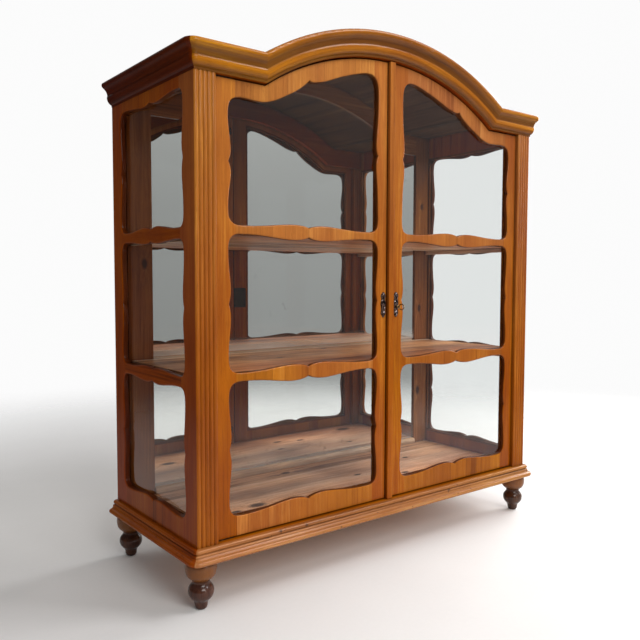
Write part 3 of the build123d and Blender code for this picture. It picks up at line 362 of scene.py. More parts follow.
        # the board nearest the doors is browner than the ones behind it
        at, tint = front_board
        colour = net.mix(net.mul(net.remap(y, at + 0.0008, at - 0.0008), net.remap(z, -1.0, 0.0)), colour,
                         net.mix(1.0, colour, tint + (1.0,), "MULTIPLY"))
    if painted_moulding_light:
        # painted shade in the hollow of the moulding and under its bead, painted highlights on the bead and the top
        # lip, round the arch and along the flats
        zz = net.add(z, -0.615)
        ring = net.add(net.math("SQRT", net.add(net.mul(x, x), net.mul(zz, zz))), -0.727)
        hgt = net.math("MINIMUM", ring, net.add(z, -1.216))
        painted_hollow_shade = net.mul(net.remap(hgt, 0.0255, 0.0300, smooth=True), net.remap(hgt, 0.0490, 0.0400, smooth=True))
        painted_underside_shade = net.remap(hgt, 0.0130, 0.0040, smooth=True)
        colour = net.mix(net.mul(net.math("MAXIMUM", painted_hollow_shade, painted_underside_shade), 0.60), colour, lin((62, 30, 4)))
        # painted highlight on the bead and the lip
        painted_crest_highlight = net.math("MAXIMUM", net.mul(net.remap(hgt, 0.0130, 0.0180, smooth=True), net.remap(hgt, 0.0262, 0.0245)),
                         net.remap(hgt, 0.0500, 0.0550, smooth=True))
        colour = net.hsv(colour, val=net.add(1.0, net.mul(painted_crest_highlight, 0.22)))
    if cup:
        low = net.remap(net.add(z, net.mul(net.add(slow, -0.5), 0.02)), 0.062, 0.086, smooth=True)
        colour = net.mix(low, colour, net.mix(0.65, net.mix(1.0, colour, (2.2, 1.8, 1.1, 1.0), "MULTIPLY"), lin((122, 70, 20))))
        # painted shade: a dark band in the neck just under the cup
        painted_neck_shade = net.mul(net.remap(z, 0.052, 0.060, smooth=True), net.remap(z, 0.074, 0.066, smooth=True))
        colour = net.mix(net.mul(painted_neck_shade, 0.45), colour, lin((46, 22, 20)))
    if front_tint:
        near = net.remap(net.add(y, net.mul(net.add(slow, -0.5), 0.10)), 0.02, -0.12, 0.0, 0.62, smooth=True)
        colour = net.mix(near, colour, net.mix(1.0, colour, lin(front_tint), "MULTIPLY"))
    if seg is not None:
        colour = net.mix(net.mul(seam, 0.72), colour, lin((48, 22, 8)))
        colour = net.hsv(colour, val=net.remap(seg, 0.0, 1.0, 0.94, 1.04))
    if jseam is not None:
        colour = net.mix(net.mul(jseam, 0.85), colour, lin((34, 24, 18)))
    if knot_mask is not None:
        ringy = net.remap(net.math("SINE", net.mul(knot_mask, 14.0)), -1, 1, 0.75, 1.0)
        colour = net.mix(net.mul(knot_mask, ringy), colour, lin((70, 40, 24)))
    # inner edges darker: partly stain, partly painted shade on the faces turned from the main face
    edge_stain_and_shade = None
    if flat_axis:
        nx, ny, nz = net.split(net.n)
        comp = {"X": nx, "Y": ny, "Z": nz}[flat_axis]
        edge_stain_and_shade = net.remap(net.math("ABSOLUTE", comp), 0.80, 0.35, smooth=True)
        colour = net.mix(net.mul(edge_stain_and_shade, 0.78), colour, lin((62, 24, 10)))
    # dirt and painted shade darken the corners; rubbed high spots
    if corner_dirt_and_shade:
        soft = {"pine": 2.8, "rail": 1.1, "door": 1.25, "post": 1.25}.get(tone, 1.0)
        cloud = net.noise(net.vmul(net.vadd(net.join(u, v, w), off), (9.0, 9.0, 3.0)), 1.0, 3.0, 0.55)
        colour = net.hsv(colour, hue=net.remap(cloud, 0.3, 0.7, 0.496, 0.506), val=net.remap(cloud, 0.3, 0.7, 1.0 - 0.16 * cloudy * soft, 1.0 + 0.16 * cloudy * soft))
        # painted shade: darker where the crevice mask finds surfaces close by, on top of real dirt
        ao = net.crevice(reach, 5)
        dirt_and_painted_shade = net.remap(ao, 0.82, 0.30, 0.0, corner_dirt_and_shade)
        colour = net.mix(dirt_and_painted_shade, colour, lin((38, 18, 8)))
    if marks:
        chips = net.noise(net.vmul(net.p, (38, 38, 60)), 1.0, 3.0, 0.7)
        spots = net.remap(chips, 0.655, 0.70, 0.0, marks)
        colour = net.mix(spots, colour, lin((44, 24, 12)))
    # varnish: uneven sheen, wiped and handled places, open pores under it
    wipe = net.noise(net.vmul(net.p, (9, 9, 5)), 1.0, 4.0, 0.6)
    r = net.add(net.remap(wipe, 0.3, 0.75, rough - 0.10, rough + 0.14), net.mul(pore, 0.12))
    h = net.add(net.mul(pore, -0.55), net.mul(fine, 0.35))
    h = net.add(h, net.mul(net.noise(net.vmul(net.p, (26, 26, 26)), 1.0, 2.0, 0.5), 1.2))
    if seam is not None:
        h = net.add(h, net.mul(seam, -1.0))
    if jseam is not None:
        h = net.add(h, net.mul(jseam, -3.0))
    nrm = net.bump(h, 0.22, 0.0006)
    net.principled(colour, r, nrm, coat=coat, coat_rough=coat_rough, spec=spec)
    return net.mat


def glass_material():
    net = Net("clear_glass_panes")
    fres = net.node("ShaderNodeFresnel")
    fres.inputs["IOR"].default_value = 1.46
    smear = net.noise(net.vmul(net.p, (7, 7, 7)), 1.0, 4.0, 0.6)
    ripple = net.noise(net.vmul(net.p, (3.2, 3.2, 5.0)), 1.0, 2.0, 0.5)
    nrm = net.bump(ripple, 0.35, 0.004)
    net.put(fres.inputs["Normal"], nrm)
    clear = net.node("ShaderNodeBsdfTransparent")
    clear.inputs[0].default_value = (0.950, 0.958, 0.955, 1.0)
    gloss = net.node("ShaderNodeBsdfGlossy")
    net.put(gloss.inputs["Color"], (0.95, 0.97, 1.0, 1.0))
    net.put(gloss.inputs["Roughness"], net.remap(smear, 0.4, 0.8, 0.012, 0.07))
    net.put(gloss.inputs["Normal"], nrm)
    m = net.node("ShaderNodeMixShader")
    # only the outer faces mirror: light that is already inside the pane passes on
    geo = net.node("ShaderNodeNewGeometry")
    outer = net.math("SUBTRACT", 1.0, geo.outputs["Backfacing"])
    net.put(m.inputs[0], net.mul(net.mul(fres.outputs[0], outer), 1.0))
    net.tree.links.new(clear.outputs[0], m.inputs[1])
    net.tree.links.new(gloss.outputs[0], m.inputs[2])
    net.tree.links.new(m.outputs[0], net.out.inputs[0])
    return net.mat


def mirror_material():
    net = Net("mirror_silver")
    spots = net.noise(net.vmul(net.p, (55, 55, 55)), 1.0, 3.0, 0.6)
    cloud = net.noise(net.vmul(net.p, (5, 5, 5)), 1.0, 3.0, 0.6)
    x, y, z = net.split(net.p)
    low = net.remap(z, 0.26, 0.165)
    age = net.mul(net.remap(spots, 0.60, 0.70), net.add(net.mul(low, 0.8), net.remap(cloud, 0.58, 0.75, 0.0, 0.35)))
    colour = net.mix(age, (0.80, 0.815, 0.81, 1.0), (0.22, 0.20, 0.17, 1.0))
    rough = net.add(net.mul(age, 0.35), net.remap(cloud, 0.3, 0.8, 0.004, 0.03))
    # painted reflection: a pale, less silvered veil low in the mirror and just above each board
    painted_pale_reflection = net.mul(net.remap(z, 0.250, 0.165, smooth=True), 0.32)
    for foot in (0.545, 0.880):
        painted_pale_reflection = net.math("MAXIMUM", painted_pale_reflection, net.mul(net.mul(net.remap(z, foot - 0.002, foot), net.remap(z, foot + 0.045, foot, smooth=True)), 0.42))
    painted_pale_reflection = net.mul(painted_pale_reflection, net.remap(cloud, 0.2, 0.7, 0.7, 1.1))
    colour = net.mix(painted_pale_reflection, colour, lin((236, 226, 214)))
    net.principled(colour, rough, None, metallic=net.add(1.0, net.mul(painted_pale_reflection, -1.0)))
    return net.mat


def bronze(name, seed=3, dark=(16, 9, 9), bright=(150, 122, 112), spots=()):
    net = Net(name)
    n1 = net.noise(net.vmul(net.p, (260, 260, 260)), 1.0, 4.0, 0.6)
    n2 = net.noise(net.vmul(net.p, (70, 70, 70)), 1.0, 3.0, 0.6)
    ao = net.crevice(0.004, 6)
    geo = net.node("ShaderNodeNewGeometry")
    rub = net.remap(geo.outputs["Pointiness"], 0.50, 0.60)
    hi = net.math("MAXIMUM", rub, net.mul(net.remap(n2, 0.52, 0.72), 0.5))
    body = net.ramp(net.add(net.mul(n1, 0.6), net.mul(n2, 0.4)),
                    [(0.42, lin(dark)), (0.58, lin([(a * 4 + b) / 5 for a, b in zip(dark, bright)])), (0.72, lin(bright))])
    colour = net.mix(net.mul(hi, 0.50), body, lin(bright))
    colour = net.mix(net.remap(ao, 0.85, 0.35, 0.0, 0.85), colour, lin((16, 11, 9)))
    rough = net.remap(n1, 0.3, 0.75, 0.26, 0.52)
    nrm = net.bump(net.add(n1, net.mul(n2, 0.5)), 0.35, 0.0004)
    # painted shade on the ground between the scrolls; painted highlights as small near-white glints
    x, y, z = net.split(net.p)
    painted_ground_shade = net.remap(y, DOOR_FACE - 0.0019, DOOR_FACE - 0.0011, smooth=True)
    colour = net.mix(net.mul(painted_ground_shade, 0.92), colour, lin((14, 7, 8)))
    painted_glint = None
    # painted highlights: near-white glints at the given spots
    for sx, sz, sr in spots:
        dx, dz = net.add(x, -sx), net.add(z, -sz)
        dist = net.math("SQRT", net.add(net.mul(dx, dx), net.mul(dz, dz)))
        m = net.remap(dist, sr, sr * 0.45, smooth=True)
        painted_glint = m if painted_glint is None else net.math("MAXIMUM", painted_glint, m)
    if painted_glint is not None:
        colour = net.mix(painted_glint, colour, lin((232, 220, 222)))
    net.principled(colour, rough, nrm, metallic=0.85)
    return net.mat


def iron():
    net = Net("dull_iron")
    n1 = net.noise(net.vmul(net.p, (200, 200, 200)), 1.0, 4.0, 0.65)
    rust = net.noise(net.vmul(net.p, (60, 60, 60)), 1.0, 4.0, 0.7)
    draw = net.noise(net.vmul(net.p, (900, 900, 60)), 1.0, 2.0, 0.5)
    body = net.ramp(n1, [(0.3, lin((32, 27, 24))), (0.7, lin((78, 68, 60)))])
    spots = net.remap(rust, 0.58, 0.70)
    colour = net.mix(net.mul(spots, 0.7), body, lin((88, 48, 26)))
    rough = net.add(net.remap(draw, 0.3, 0.7, 0.34, 0.50), net.mul(spots, 0.25))
    nrm = net.bump(net.add(net.mul(n1, 0.6), net.mul(draw, 0.4)), 0.3, 0.0004)
    s = net.principled(colour, rough, nrm, metallic=0.85)
    net.put(s.inputs["Metallic"], net.remap(rust, 0.58, 0.70, 0.95, 0.25))
    return net.mat


def dress(node, material):
    """Every face of a node takes the material."""
    o = NODES[node]
    o.data.materials.clear()
    o.data.materials.append(material)


# ---------------------------------------------------------------------------
# wood of every node
# ---------------------------------------------------------------------------
for s in ("left", "right"):
    k = -1.0 if s == "left" else 1.0
    base_seed = 10 if s == "left" else 40
    dress(s + "_door_hinge_stile", wood(s + "_hinge_stile_wood", "door", "Z", base_seed + 1, flat_axis="Y", rise=1.0))
    dress(s + "_door_meeting_stile", wood(s + "_meeting_stile_wood", "door", "Z", base_seed + 2, flat_axis="Y", rise=1.0))
    if s == "left":
        top = [-0.3995, -0.3439, -0.2544, -0.2340, -0.2036, -0.1300]
        mid = [-0.4400, -0.3886, -0.3516, -0.2826, -0.2101, -0.1400]
        low = [-0.4612, -0.3995, -0.3366, -0.2836, -0.1885, -0.1157]
    else:
        top = [0.1420, 0.2454, 0.3000, 0.3672, 0.4300]
        mid = [0.1616, 0.2220, 0.2741, 0.3677, 0.4350]
        low = [0.1802, 0.2543, 0.3270, 0.3692, 0.4419]
    dress(s + "_door_top_rail", wood(s + "_top_rail_wood", "rail", "Z", base_seed + 3, cuts=top, flat_axis="Y", rise=1.0, figure=0.5))
    dress(s + "_door_mid_rails", wood(s + "_mid_rail_wood", "rail", "Z", base_seed + 4, cuts=mid, flat_axis="Y", rise=1.0, figure=0.6))
    dress(s + "_door_bottom_rail", wood(s + "_bottom_rail_wood", "rail", "Z", base_seed + 5, cuts=low, flat_axis="Y", rise=1.0, figure=0.5))
    dress(s + "_door_beads", wood(s + "_bead_wood", "bead", "X", base_seed + 6, coat=0.2))
    dress("front_" + s + "_post", wood(s + "_post_wood", "post", "Z", base_seed + 7, rise=1.0, figure=1.6, corner_dirt_and_shade=0.35, side_tone="side"))
    dress("back_" + s + "_post", wood(s + "_back_post_wood", "side", "Z", base_seed + 8, flat_axis="X"))
    for i, part in enumerate(("top_rail", "mid_rails", "bottom_rail")):
        dress(s + "_side_" + part, wood(s + "_side_" + part + "_wood", "side", "Z" if part != "mid_rails" else "Y",
                                       base_seed + 9 + i, flat_axis="X"))
    dress("base_moulding_" + s, wood(s + "_base_wood", "side", "Y", base_seed + 13, corner_dirt_and_shade=0.7, marks=0.4))
    dress("cornice_" + s, wood(s + "_cornice_wood", "dusk", "Y", base_seed + 14, corner_dirt_and_shade=0.85, reach=0.045))
    for j, fb in enumerate(("front", "back")):
        dress("foot_" + fb + "_" + s, wood(fb + "_" + s + "_foot_wood", "foot", "Z", base_seed + 16 + j, coat=0.7,
                                           coat_rough=0.12, figure=1.4, corner_dirt_and_shade=0.7, cup=True))

dress("meeting_strip", wood("strip_wood", "door", "Z", 71, rise=1.0, corner_dirt_and_shade=0.5))
dress("front_bottom_rail", wood("front_rail_wood", "door", "X", 72))
dress("base_moulding_front", wood("base_front_wood", "base", "X", 73, corner_dirt_and_shade=0.75, marks=0.75, coat=0.6, coat_rough=0.26))
dress("cornice_front", wood("cornice_front_wood", "mould", "ARC", 74, corner_dirt_and_shade=0.95, figure=0.9, reach=0.05, coat=0.42, coat_rough=0.20, painted_moulding_light=True))
dress("lintel", wood("lintel_wood", "side", "X", 75))
dress("roof_panel", wood("roof_wood", "roof", "Y", 76, coat=0.0, rough=0.6))
dress("bottom_board", wood("floor_wood", "pine", "X", 77, front_board=(0.200, (0.92, 0.76, 0.68)), front_tint=(244, 206, 170), coat=0.12, coat_rough=0.3, rough=0.46, figure=0.8,
                           joints=(0.118, 0.194, 0.196),
                           knots=((-0.338, -0.059, 0.020), (0.115, -0.095, 0.013), (0.200, -0.070, 0.011),
                                  (0.449, -0.122, 0.024), (0.065, 0.0, 0.010), (-0.412, -0.072, 0.012),
                                  (-0.10, 0.15, 0.012), (0.33, 0.06, 0.010))))
dress("lower_shelf", wood("lower_shelf_wood", "pine", "X", 78, front_board=(0.178, (0.96, 0.72, 0.50)), front_tint=(236, 178, 128), coat=0.12, coat_rough=0.3, rough=0.46, figure=0.8,
                          joints=(0.171, 0.173, 0.175), knots=((-0.21, 0.02, 0.010), (0.28, -0.08, 0.012), (0.05, 0.15, 0.010))))
dress("upper_shelf", wood("upper_shelf_wood", "pine", "X", 79, front_board=(0.150, (0.96, 0.76, 0.56)), front_tint=(236, 178, 128), coat=0.12, coat_rough=0.3, rough=0.46, figure=0.8,
                          joints=(-0.050, 0.100), knots=((-0.31, -0.05, 0.012), (0.18, 0.08, 0.011))))
dress("shelf_battens", wood("batten_wood", "pine", "Y", 80, coat=0.0, rough=0.6))
dress("back_stiles", wood("back_stile_wood", "back", "Z", 81, coat=0.25, rough=0.45,
                          knots=((0.532, 0.653, 0.011), (0.528, 0.352, 0.012), (-0.533, 0.80, 0.011), (0.54, 1.02, 0.009)),
                          knot_plane="XZ"))
dress("back_top_rail", wood("back_top_wood", "back", "X", 82, coat=0.25, rough=0.45))
dress("back_bottom_rail", wood("back_bottom_wood", "back", "X", 83, coat=0.2, rough=0.5))
dress("backing_board", wood("backing_wood", "pine", "Z", 84, coat=0.0, rough=0.65,
                            joints=(-0.35, -0.12, 0.11, 0.34), joint_axis="X"))
dress("mirror_bead", wood("mirror_bead_wood", "pine", "X", 85, coat=0.15, front_tint=(214, 164, 118)))
dress("side_glazing_beads", wood("side_bead_wood", "bead", "Z", 86, coat=0.2))

GLASS = glass_material()
for n in ("side_glass", "left_door_glass", "right_door_glass"):
    dress(n, GLASS)
dress("mirror_pane", mirror_material())
IRON = iron()
for n in ("lock_case", "lock_bolt", "left_door_top_bolt", "left_door_bottom_bolt", "hinge_pin_plates",
          "left_door_hinge_plates", "right_door_hinge_plates"):
    dress(n, IRON)
BRONZE = bronze("aged_bronze", spots=((ESC_LX + 0.0020, ESC_Z - 0.0195, 0.0030), (ESC_LX + 0.0010, ESC_Z + 0.0295, 0.0024),
                                      (ESC_LX - 0.0035, ESC_Z + 0.0120, 0.0018), (ESC_LX + 0.0040, ESC_Z - 0.0080, 0.0016),
                                      (ESC_RX, ESC_Z - 0.0195, 0.0030), (ESC_RX, ESC_Z + 0.0295, 0.0022),
                                      (ESC_RX - 0.0030, ESC_Z + 0.0090, 0.0017), (ESC_RX + 0.0030, ESC_Z - 0.0270, 0.0016)))
BRASS = bronze("key_brass", 5, (58, 42, 24), (214, 172, 104))
dress("left_escutcheon", BRONZE)
dress("right_escutcheon", BRONZE)
dress("key", BRASS)


# ---------------------------------------------------------------------------
# detail meshes
# ---------------------------------------------------------------------------
def new_object(name, bm, material, smooth=True):
    mesh = bpy.data.meshes.new(name)
    bm.to_mesh(mesh)
    bm.free()
    for p in mesh.polygons:
        p.use_smooth = smooth
    mesh.materials.append(material)
    o = bpy.data.objects.new(name, mesh)
    scene.collection.objects.link(o)
    return o


def tube(bm, path, radii, sides=10, squash=1.0, closed=False, axis=Vector((0, 1, 0))):
    """A tube round a path in a plane across axis; radii per point, squash flattens it along axis."""
    rings = []
    n = len(path)
    for i, p in enumerate(path):
        a = path[(i - 1) % n] if (closed or i > 0) else path[i]
        b = path[(i + 1) % n] if (closed or i < n - 1) else path[i]
        t = (b - a).normalized()
        side = t.cross(axis).normalized()
        r = radii[i] if hasattr(radii, "__len__") else radii
        ring = []
        for k in range(sides):
            q = 2 * math.pi * k / sides
            ring.append(bm.verts.new(p + side * (r * math.cos(q)) + axis * (r * squash * math.sin(q))))
        rings.append(ring)
    m = n if closed else n - 1
    for i in range(m):
        r0, r1 = rings[i], rings[(i + 1) % n]
        for k in range(sides):
            bm.faces.new((r0[k], r0[(k + 1) % sides], r1[(k + 1) % sides], r1[k]))
    if not closed:
        bm.faces.new(rings[0][::-1])
        bm.faces.new(rings[-1])


def smooth_path(points, per=6, closed=False):
    """Catmull-Rom through 2-D points (x, z), as 3-D points at y = 0."""
    out = []
    n = len(points)
    segs = n if closed else n - 1
    for i in range(segs):
        def at(j):
            return points[j % n] if closed else points[max(0, min(n - 1, j))]
        p0, p1, p2, p3 = at(i - 1), at(i), at(i + 1), at(i + 2)
        for s in range(per):
            t = s / per
            q = []
            for a in range(2):
                q.append(0.5 * (2 * p1[a] + (p2[a] - p0[a]) * t + (2 * p0[a] - 5 * p1[a] + 4 * p2[a] - p3[a]) * t * t
                                + (3 * p1[a] - p0[a] - 3 * p2[a] + p3[a]) * t ** 3))
            out.append(Vector((q[0], 0, q[1])))
    if not closed:
        out.append(Vector((points[-1][0], 0, points[-1][1])))
    return out


def scroll(cx, cz, r0, r1, a0, a1, n=16):
    """Points of a spiral from angle a0 to a1 (degrees), radius r0 to r1."""
    pts = []
    for i in range(n + 1):
        t = i / n
        a = math.radians(a0 + (a1 - a0) * t)
        r = r0 + (r1 - r0) * t
        pts.append(Vector((cx + r * math.cos(a), 0, cz + r * math.sin(a))))
    return pts


def lens(bm, c, rx, rz, h, rings=4, sides=14):
    """A low boss: an oval dome standing on the plate, towards -Y."""
    rows = []
    for i in range(rings):
        t = i / rings * math.pi / 2
        rows.append([bm.verts.new((c[0] + rx * math.cos(t) * math.cos(2 * math.pi * k / sides), c[1] - h * math.sin(t),
                                   c[2] + rz * math.cos(t) * math.sin(2 * math.pi * k / sides))) for k in range(sides)])
    top = bm.verts.new((c[0], c[1] - h, c[2]))
    for a, b in zip(rows, rows[1:]):
        for k in range(sides):
            bm.faces.new((a[k], a[(k + 1) % sides], b[(k + 1) % sides], b[k]))
    for k in range(sides):
        bm.faces.new((rows[-1][k], rows[-1][(k + 1) % sides], top))
    bm.faces.new(rows[0][::-1])


def key_plate(name, cx, k, flip):
    """Cast openwork key plate: a scrolled frame, a keyhole boss and small flowers."""
    bm = bmesh.new()
    y0 = DOOR_FACE - 0.0002
    mm = 0.001
    half_pts = [(0, 35), (3.6, 33.2), (5.2, 29.0), (7.6, 27.6), (9.4, 24.0), (8.0, 19.5), (6.4, 16.0),
                (8.2, 10.5), (9.6, 4.0), (9.2, -4.0), (7.2, -10.0), (6.6, -15.0), (8.6, -19.0),
                (8.9, -23.5), (6.6, -27.2), (4.2, -30.0), (2.4, -33.4), (0, -35)]
    inner = 1.2
    # thin ground plate inside the frame
    ground = smooth_path([(x, z) for x, z in half_pts], 4)
    loop = [Vector((p.x * 0.90, 0, p.z * 0.97)) for p in ground] + \
           [Vector((-p.x * 0.90, 0, p.z * 0.97)) for p in ground[-2:0:-1]]
    lows = [bm.verts.new((cx + k * p.x * mm, y0, ESC_Z + p.z * mm)) for p in loop]
    tops = [bm.verts.new((cx + k * p.x * mm * 0.97, y0 - 0.8 * mm, ESC_Z + p.z * mm * 0.99)) for p in loop]
    bm.faces.new(lows[::-1])
    bm.faces.new(tops)
    for i in range(len(loop)):
        j = (i + 1) % len(loop)
        bm.faces.new((lows[i], lows[j], tops[j], tops[i]))
    for sx in (-1, 1):
        def place(pts, lift=0.0):
            return [Vector(((cx + sx * k * p.x * mm), y0 - lift * mm, ESC_Z + p.z * mm)) for p in pts]
        frame_pts = smooth_path([(x - inner * (x > 1.5), z - inner * (1 if z > 30 else (-1 if z < -30 else 0)))
                                 for x, z in half_pts], 5)
        rad = [(1.10 + 0.45 * abs(math.sin(i * 0.35))) * mm for i in range(len(frame_pts))]
        tube(bm, place(frame_pts), rad, 8, 0.8)
        # C scrolls above and below the keyhole, curls at the lobes
        for cz, s in ((22.5, 1), (-22.0, -1)):
            tube(bm, place(scroll(4.6, cz, 3.2, 0.9, -110 * s, 330 * s, 26), 0.9),
                 [(1.45 - 0.028 * i) * mm for i in range(27)], 8, 1.0)
            tube(bm, place(scroll(2.6, cz + 8.2 * s, 2.3, 0.7, 200 * s, -150 * s, 20), 0.9),
                 [(1.15 - 0.022 * i) * mm for i in range(21)], 8, 1.0)
            tube(bm, place(scroll(4.3, cz - 9.0 * s, 2.5, 0.8, 40 * s, 400 * s, 20), 0.8),
                 [(1.15 - 0.022 * i) * mm for i in range(21)], 8, 1.0)
        # leaf strokes that run out to the sides
        for cz, s in ((10.0, 1), (-12.0, -1)):
            leaf = smooth_path([(1.6, cz + 6 * s), (4.2, cz + 3.0 * s), (6.6, cz + 1.2 * s), (8.3, cz - 2.2 * s)], 5)
            tube(bm, place(leaf, 0.9), [(0.7 + 0.8 * math.sin(math.pi * i / (len(leaf) - 1))) * mm for i in range(len(leaf))], 8, 0.9)
        for bx, bz in ((6.9, 24.0), (7.4, 1.0), (6.6, -21.0), (2.3, 15.0), (2.2, -30.0)):
            lens(bm, (cx + sx * k * bx * mm, y0, ESC_Z + bz * mm), 1.3 * mm, 1.3 * mm, 2.7 * mm, 3, 10)
    # middle plate with the keyhole: a ring of quads round the hole
    kz = KEY_Z
    n = 36
    hole = []
    for i in range(n):
        a = 2 * math.pi * i / n + math.pi / 2
        r = 2.9 * mm
        hx, hz = r * math.cos(a), r * math.sin(a)
        if hz < -1.2 * mm:
            hx = max(-1.5 * mm, min(1.5 * mm, hx * 1.0))
            hz = -8.0 * mm if abs(hx) < 1.45 * mm else hz
        hole.append((hx, hz))
    rim = [(6.0 * mm * k * math.cos(2 * math.pi * i / n + math.pi / 2),
            (-1.5 + 11.0 * math.sin(2 * math.pi * i / n + math.pi / 2)) * mm) for i in range(n)]
    layers = []
    for depth, grow in ((0.0, 1.0), (1.6, 1.0), (2.1, 0.92)):
        layers.append([bm.verts.new((cx + q[0] * grow, y0 - depth * mm, kz + q[1] * grow)) for q in rim])
    for depth in (2.1, 0.0):
        layers.append([bm.verts.new((cx + q[0], y0 - depth * mm, kz + q[1])) for q in hole])
    for a, b in zip(layers, layers[1:]):
        for i in range(n):
            j = (i + 1) % n
            bm.faces.new((a[i], a[j], b[j], b[i]))
    ring_path = [Vector((cx + (q[0]) * 1.0, y0 - 1.7 * mm, kz + q[1])) for q in rim]
    tube(bm, ring_path, 0.95 * mm, 8, 0.9, closed=True)
    # top and bottom finials with a pin each
    for cz in (31.0, -31.2):
        lens(bm, (cx, y0, ESC_Z + cz * mm), 2.0 * mm, 2.5 * mm, 2.9 * mm, 4, 14)
    for cz in (25.2, -25.4):
        lens(bm, (cx, y0, ESC_Z + cz * mm), 1.7 * mm, 1.7 * mm, 2.7 * mm, 4, 12)
    bmesh.ops.recalc_face_normals(bm, faces=bm.faces[:])
    return new_object(name, bm, BRONZE)


for nm, cx, k, body in (("left_key_plate", ESC_LX, 0.96, "left_door"), ("right_key_plate", ESC_RX, 1.0, "right_door")):
    o = key_plate(nm, cx, k, nm.startswith("left"))
    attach(o, body)
    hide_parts(nm.split("_")[0] + "_escutcheon")


def turned(bm, cx, cz, profile, sides=28):
    """A piece turned about the Y axis through (cx, cz): profile of (y, radius)."""
    rows = [[bm.verts.new((cx + r * math.cos(2 * math.pi * k / sides), y, cz + r * math.sin(2 * math.pi * k / sides)))
             for k in range(sides)] for y, r in profile]
    for a, b in zip(rows, rows[1:]):
        for k in range(sides):
            bm.faces.new((a[k], a[(k + 1) % sides], b[(k + 1) % sides], b[k]))
    bm.faces.new(rows[0][::-1])
    bm.faces.new(rows[-1])


def make_key():
    bm = bmesh.new()
    mm = 0.001
    d = lambda v: FRONT + v * mm
    turned(bm, KEY_X, KEY_Z, [(d(-3.9), 1.6 * mm), (d(-2.6), 2.2 * mm), (d(-1.0), 2.4 * mm), (d(0.6), 2.4 * mm), (d(0.9), 3.2 * mm), (d(1.3), 3.9 * mm),
                              (d(2.0), 3.9 * mm), (d(2.3), 3.1 * mm), (d(2.7), 3.1 * mm), (d(3.0), 3.9 * mm), (d(3.6), 3.9 * mm),
                              (d(4.0), 3.2 * mm), (d(4.3), 2.5 * mm), (d(28.6), 2.5 * mm), (d(29.3), 2.1 * mm), (d(29.6), 1.2 * mm)])
    # oval bow in the upright plane of the shank
    n = 44
    path, radii = [], []
    for i in range(n):
        a = 2 * math.pi * i / n
        path.append(Vector((KEY_X, d(-12.2) + 9.1 * mm * math.cos(a), KEY_Z + 7.5 * mm * math.sin(a))))
        radii.append((1.45 + 0.25 * max(0.0, math.cos(a)) ** 2) * mm)
    tube(bm, path, radii, 12, 0.95, closed=True, axis=Vector((1, 0, 0)))
    # bit with two wards cut into it
    bz0, bz1 = -8.6, -1.5
    outline = [(24.8, bz1), (24.8, bz0), (26.0, bz0), (26.0, bz0 + 2.6), (26.8, bz0 + 2.6), (26.8, bz0),
               (28.1, bz0), (28.1, bz0 + 1.6), (29.2, bz0 + 1.6), (29.2, bz1)]
    left = [bm.verts.new((KEY_X - 1.15 * mm, d(a), KEY_Z + b * mm)) for a, b in outline]
    right = [bm.verts.new((KEY_X + 1.15 * mm, d(a), KEY_Z + b * mm)) for a, b in outline]
    bm.faces.new(left)
    bm.faces.new(right[::-1])
    for i in range(len(outline)):
        j = (i + 1) % len(outline)
        bm.faces.new((left[j], left[i], right[i], right[j]))
    bmesh.ops.recalc_face_normals(bm, faces=bm.faces[:])
    o = new_object("key_with_oval_bow", bm, BRASS)
    mod = o.modifiers.new("edges", "EDGE_SPLIT")
    mod.split_angle = math.radians(50)
    return o


key = make_key()
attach(key, "key")
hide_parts("key")


# ---------------------------------------------------------------------------
# softened edges on the sawn and planed pieces
# ---------------------------------------------------------------------------
def soften(node, width, angle=38.0, segments=2):
    o = NODES[node]
    w = o.modifiers.new("weld", "WELD")
    w.merge_threshold = 0.00002
    d = o.modifiers.new("flats", "DECIMATE")
    d.decimate_type = "DISSOLVE"
    d.angle_limit = math.radians(0.3)
    b = o.modifiers.new("edges", "BEVEL")
    b.width = width
    b.segments = segments
    b.limit_method = "ANGLE"
    b.angle_limit = math.radians(angle)
    b.use_clamp_overlap = True
    b.harden_normals = True


for n, wd in (("lower_shelf", 0.0012), ("upper_shelf", 0.0012), ("bottom_board", 0.0010), ("shelf_battens", 0.0010),
              ("back_stiles", 0.0010), ("back_bottom_rail", 0.0010), ("mirror_bead", 0.0006)):
    soften(n, wd)

# ---------------------------------------------------------------------------
# floor, light, camera
# ---------------------------------------------------------------------------
YAW, PITCH, ROLL = 0.66357, -0.0599, 0.00245
right = Vector((math.cos(YAW), -math.sin(YAW), 0.0))
ahead = Vector((math.sin(YAW) * math.cos(PITCH), math.cos(YAW) * math.cos(PITCH), math.sin(PITCH)))
up = right.cross(ahead)
r2 = right * math.cos(ROLL) + up * math.sin(ROLL)
u2 = up * math.cos(ROLL) - right * math.sin(ROLL)
cam_data = bpy.data.cameras.new("camera")
cam_data.sensor_width = 36.0
cam_data.lens = 709.4018 / 640.0 * 36.0
cam_data.clip_start = 0.05
cam_data.clip_end = 60.0
cam = bpy.data.objects.new("camera", cam_data)
scene.collection.objects.link(cam)
rot = Matrix((r2, u2, -ahead)).transposed().to_4x4()
cam.matrix_world = Matrix.Translation(Vector((-1.34870, -1.61955, 0.76395))) @ rot
scene.camera = cam


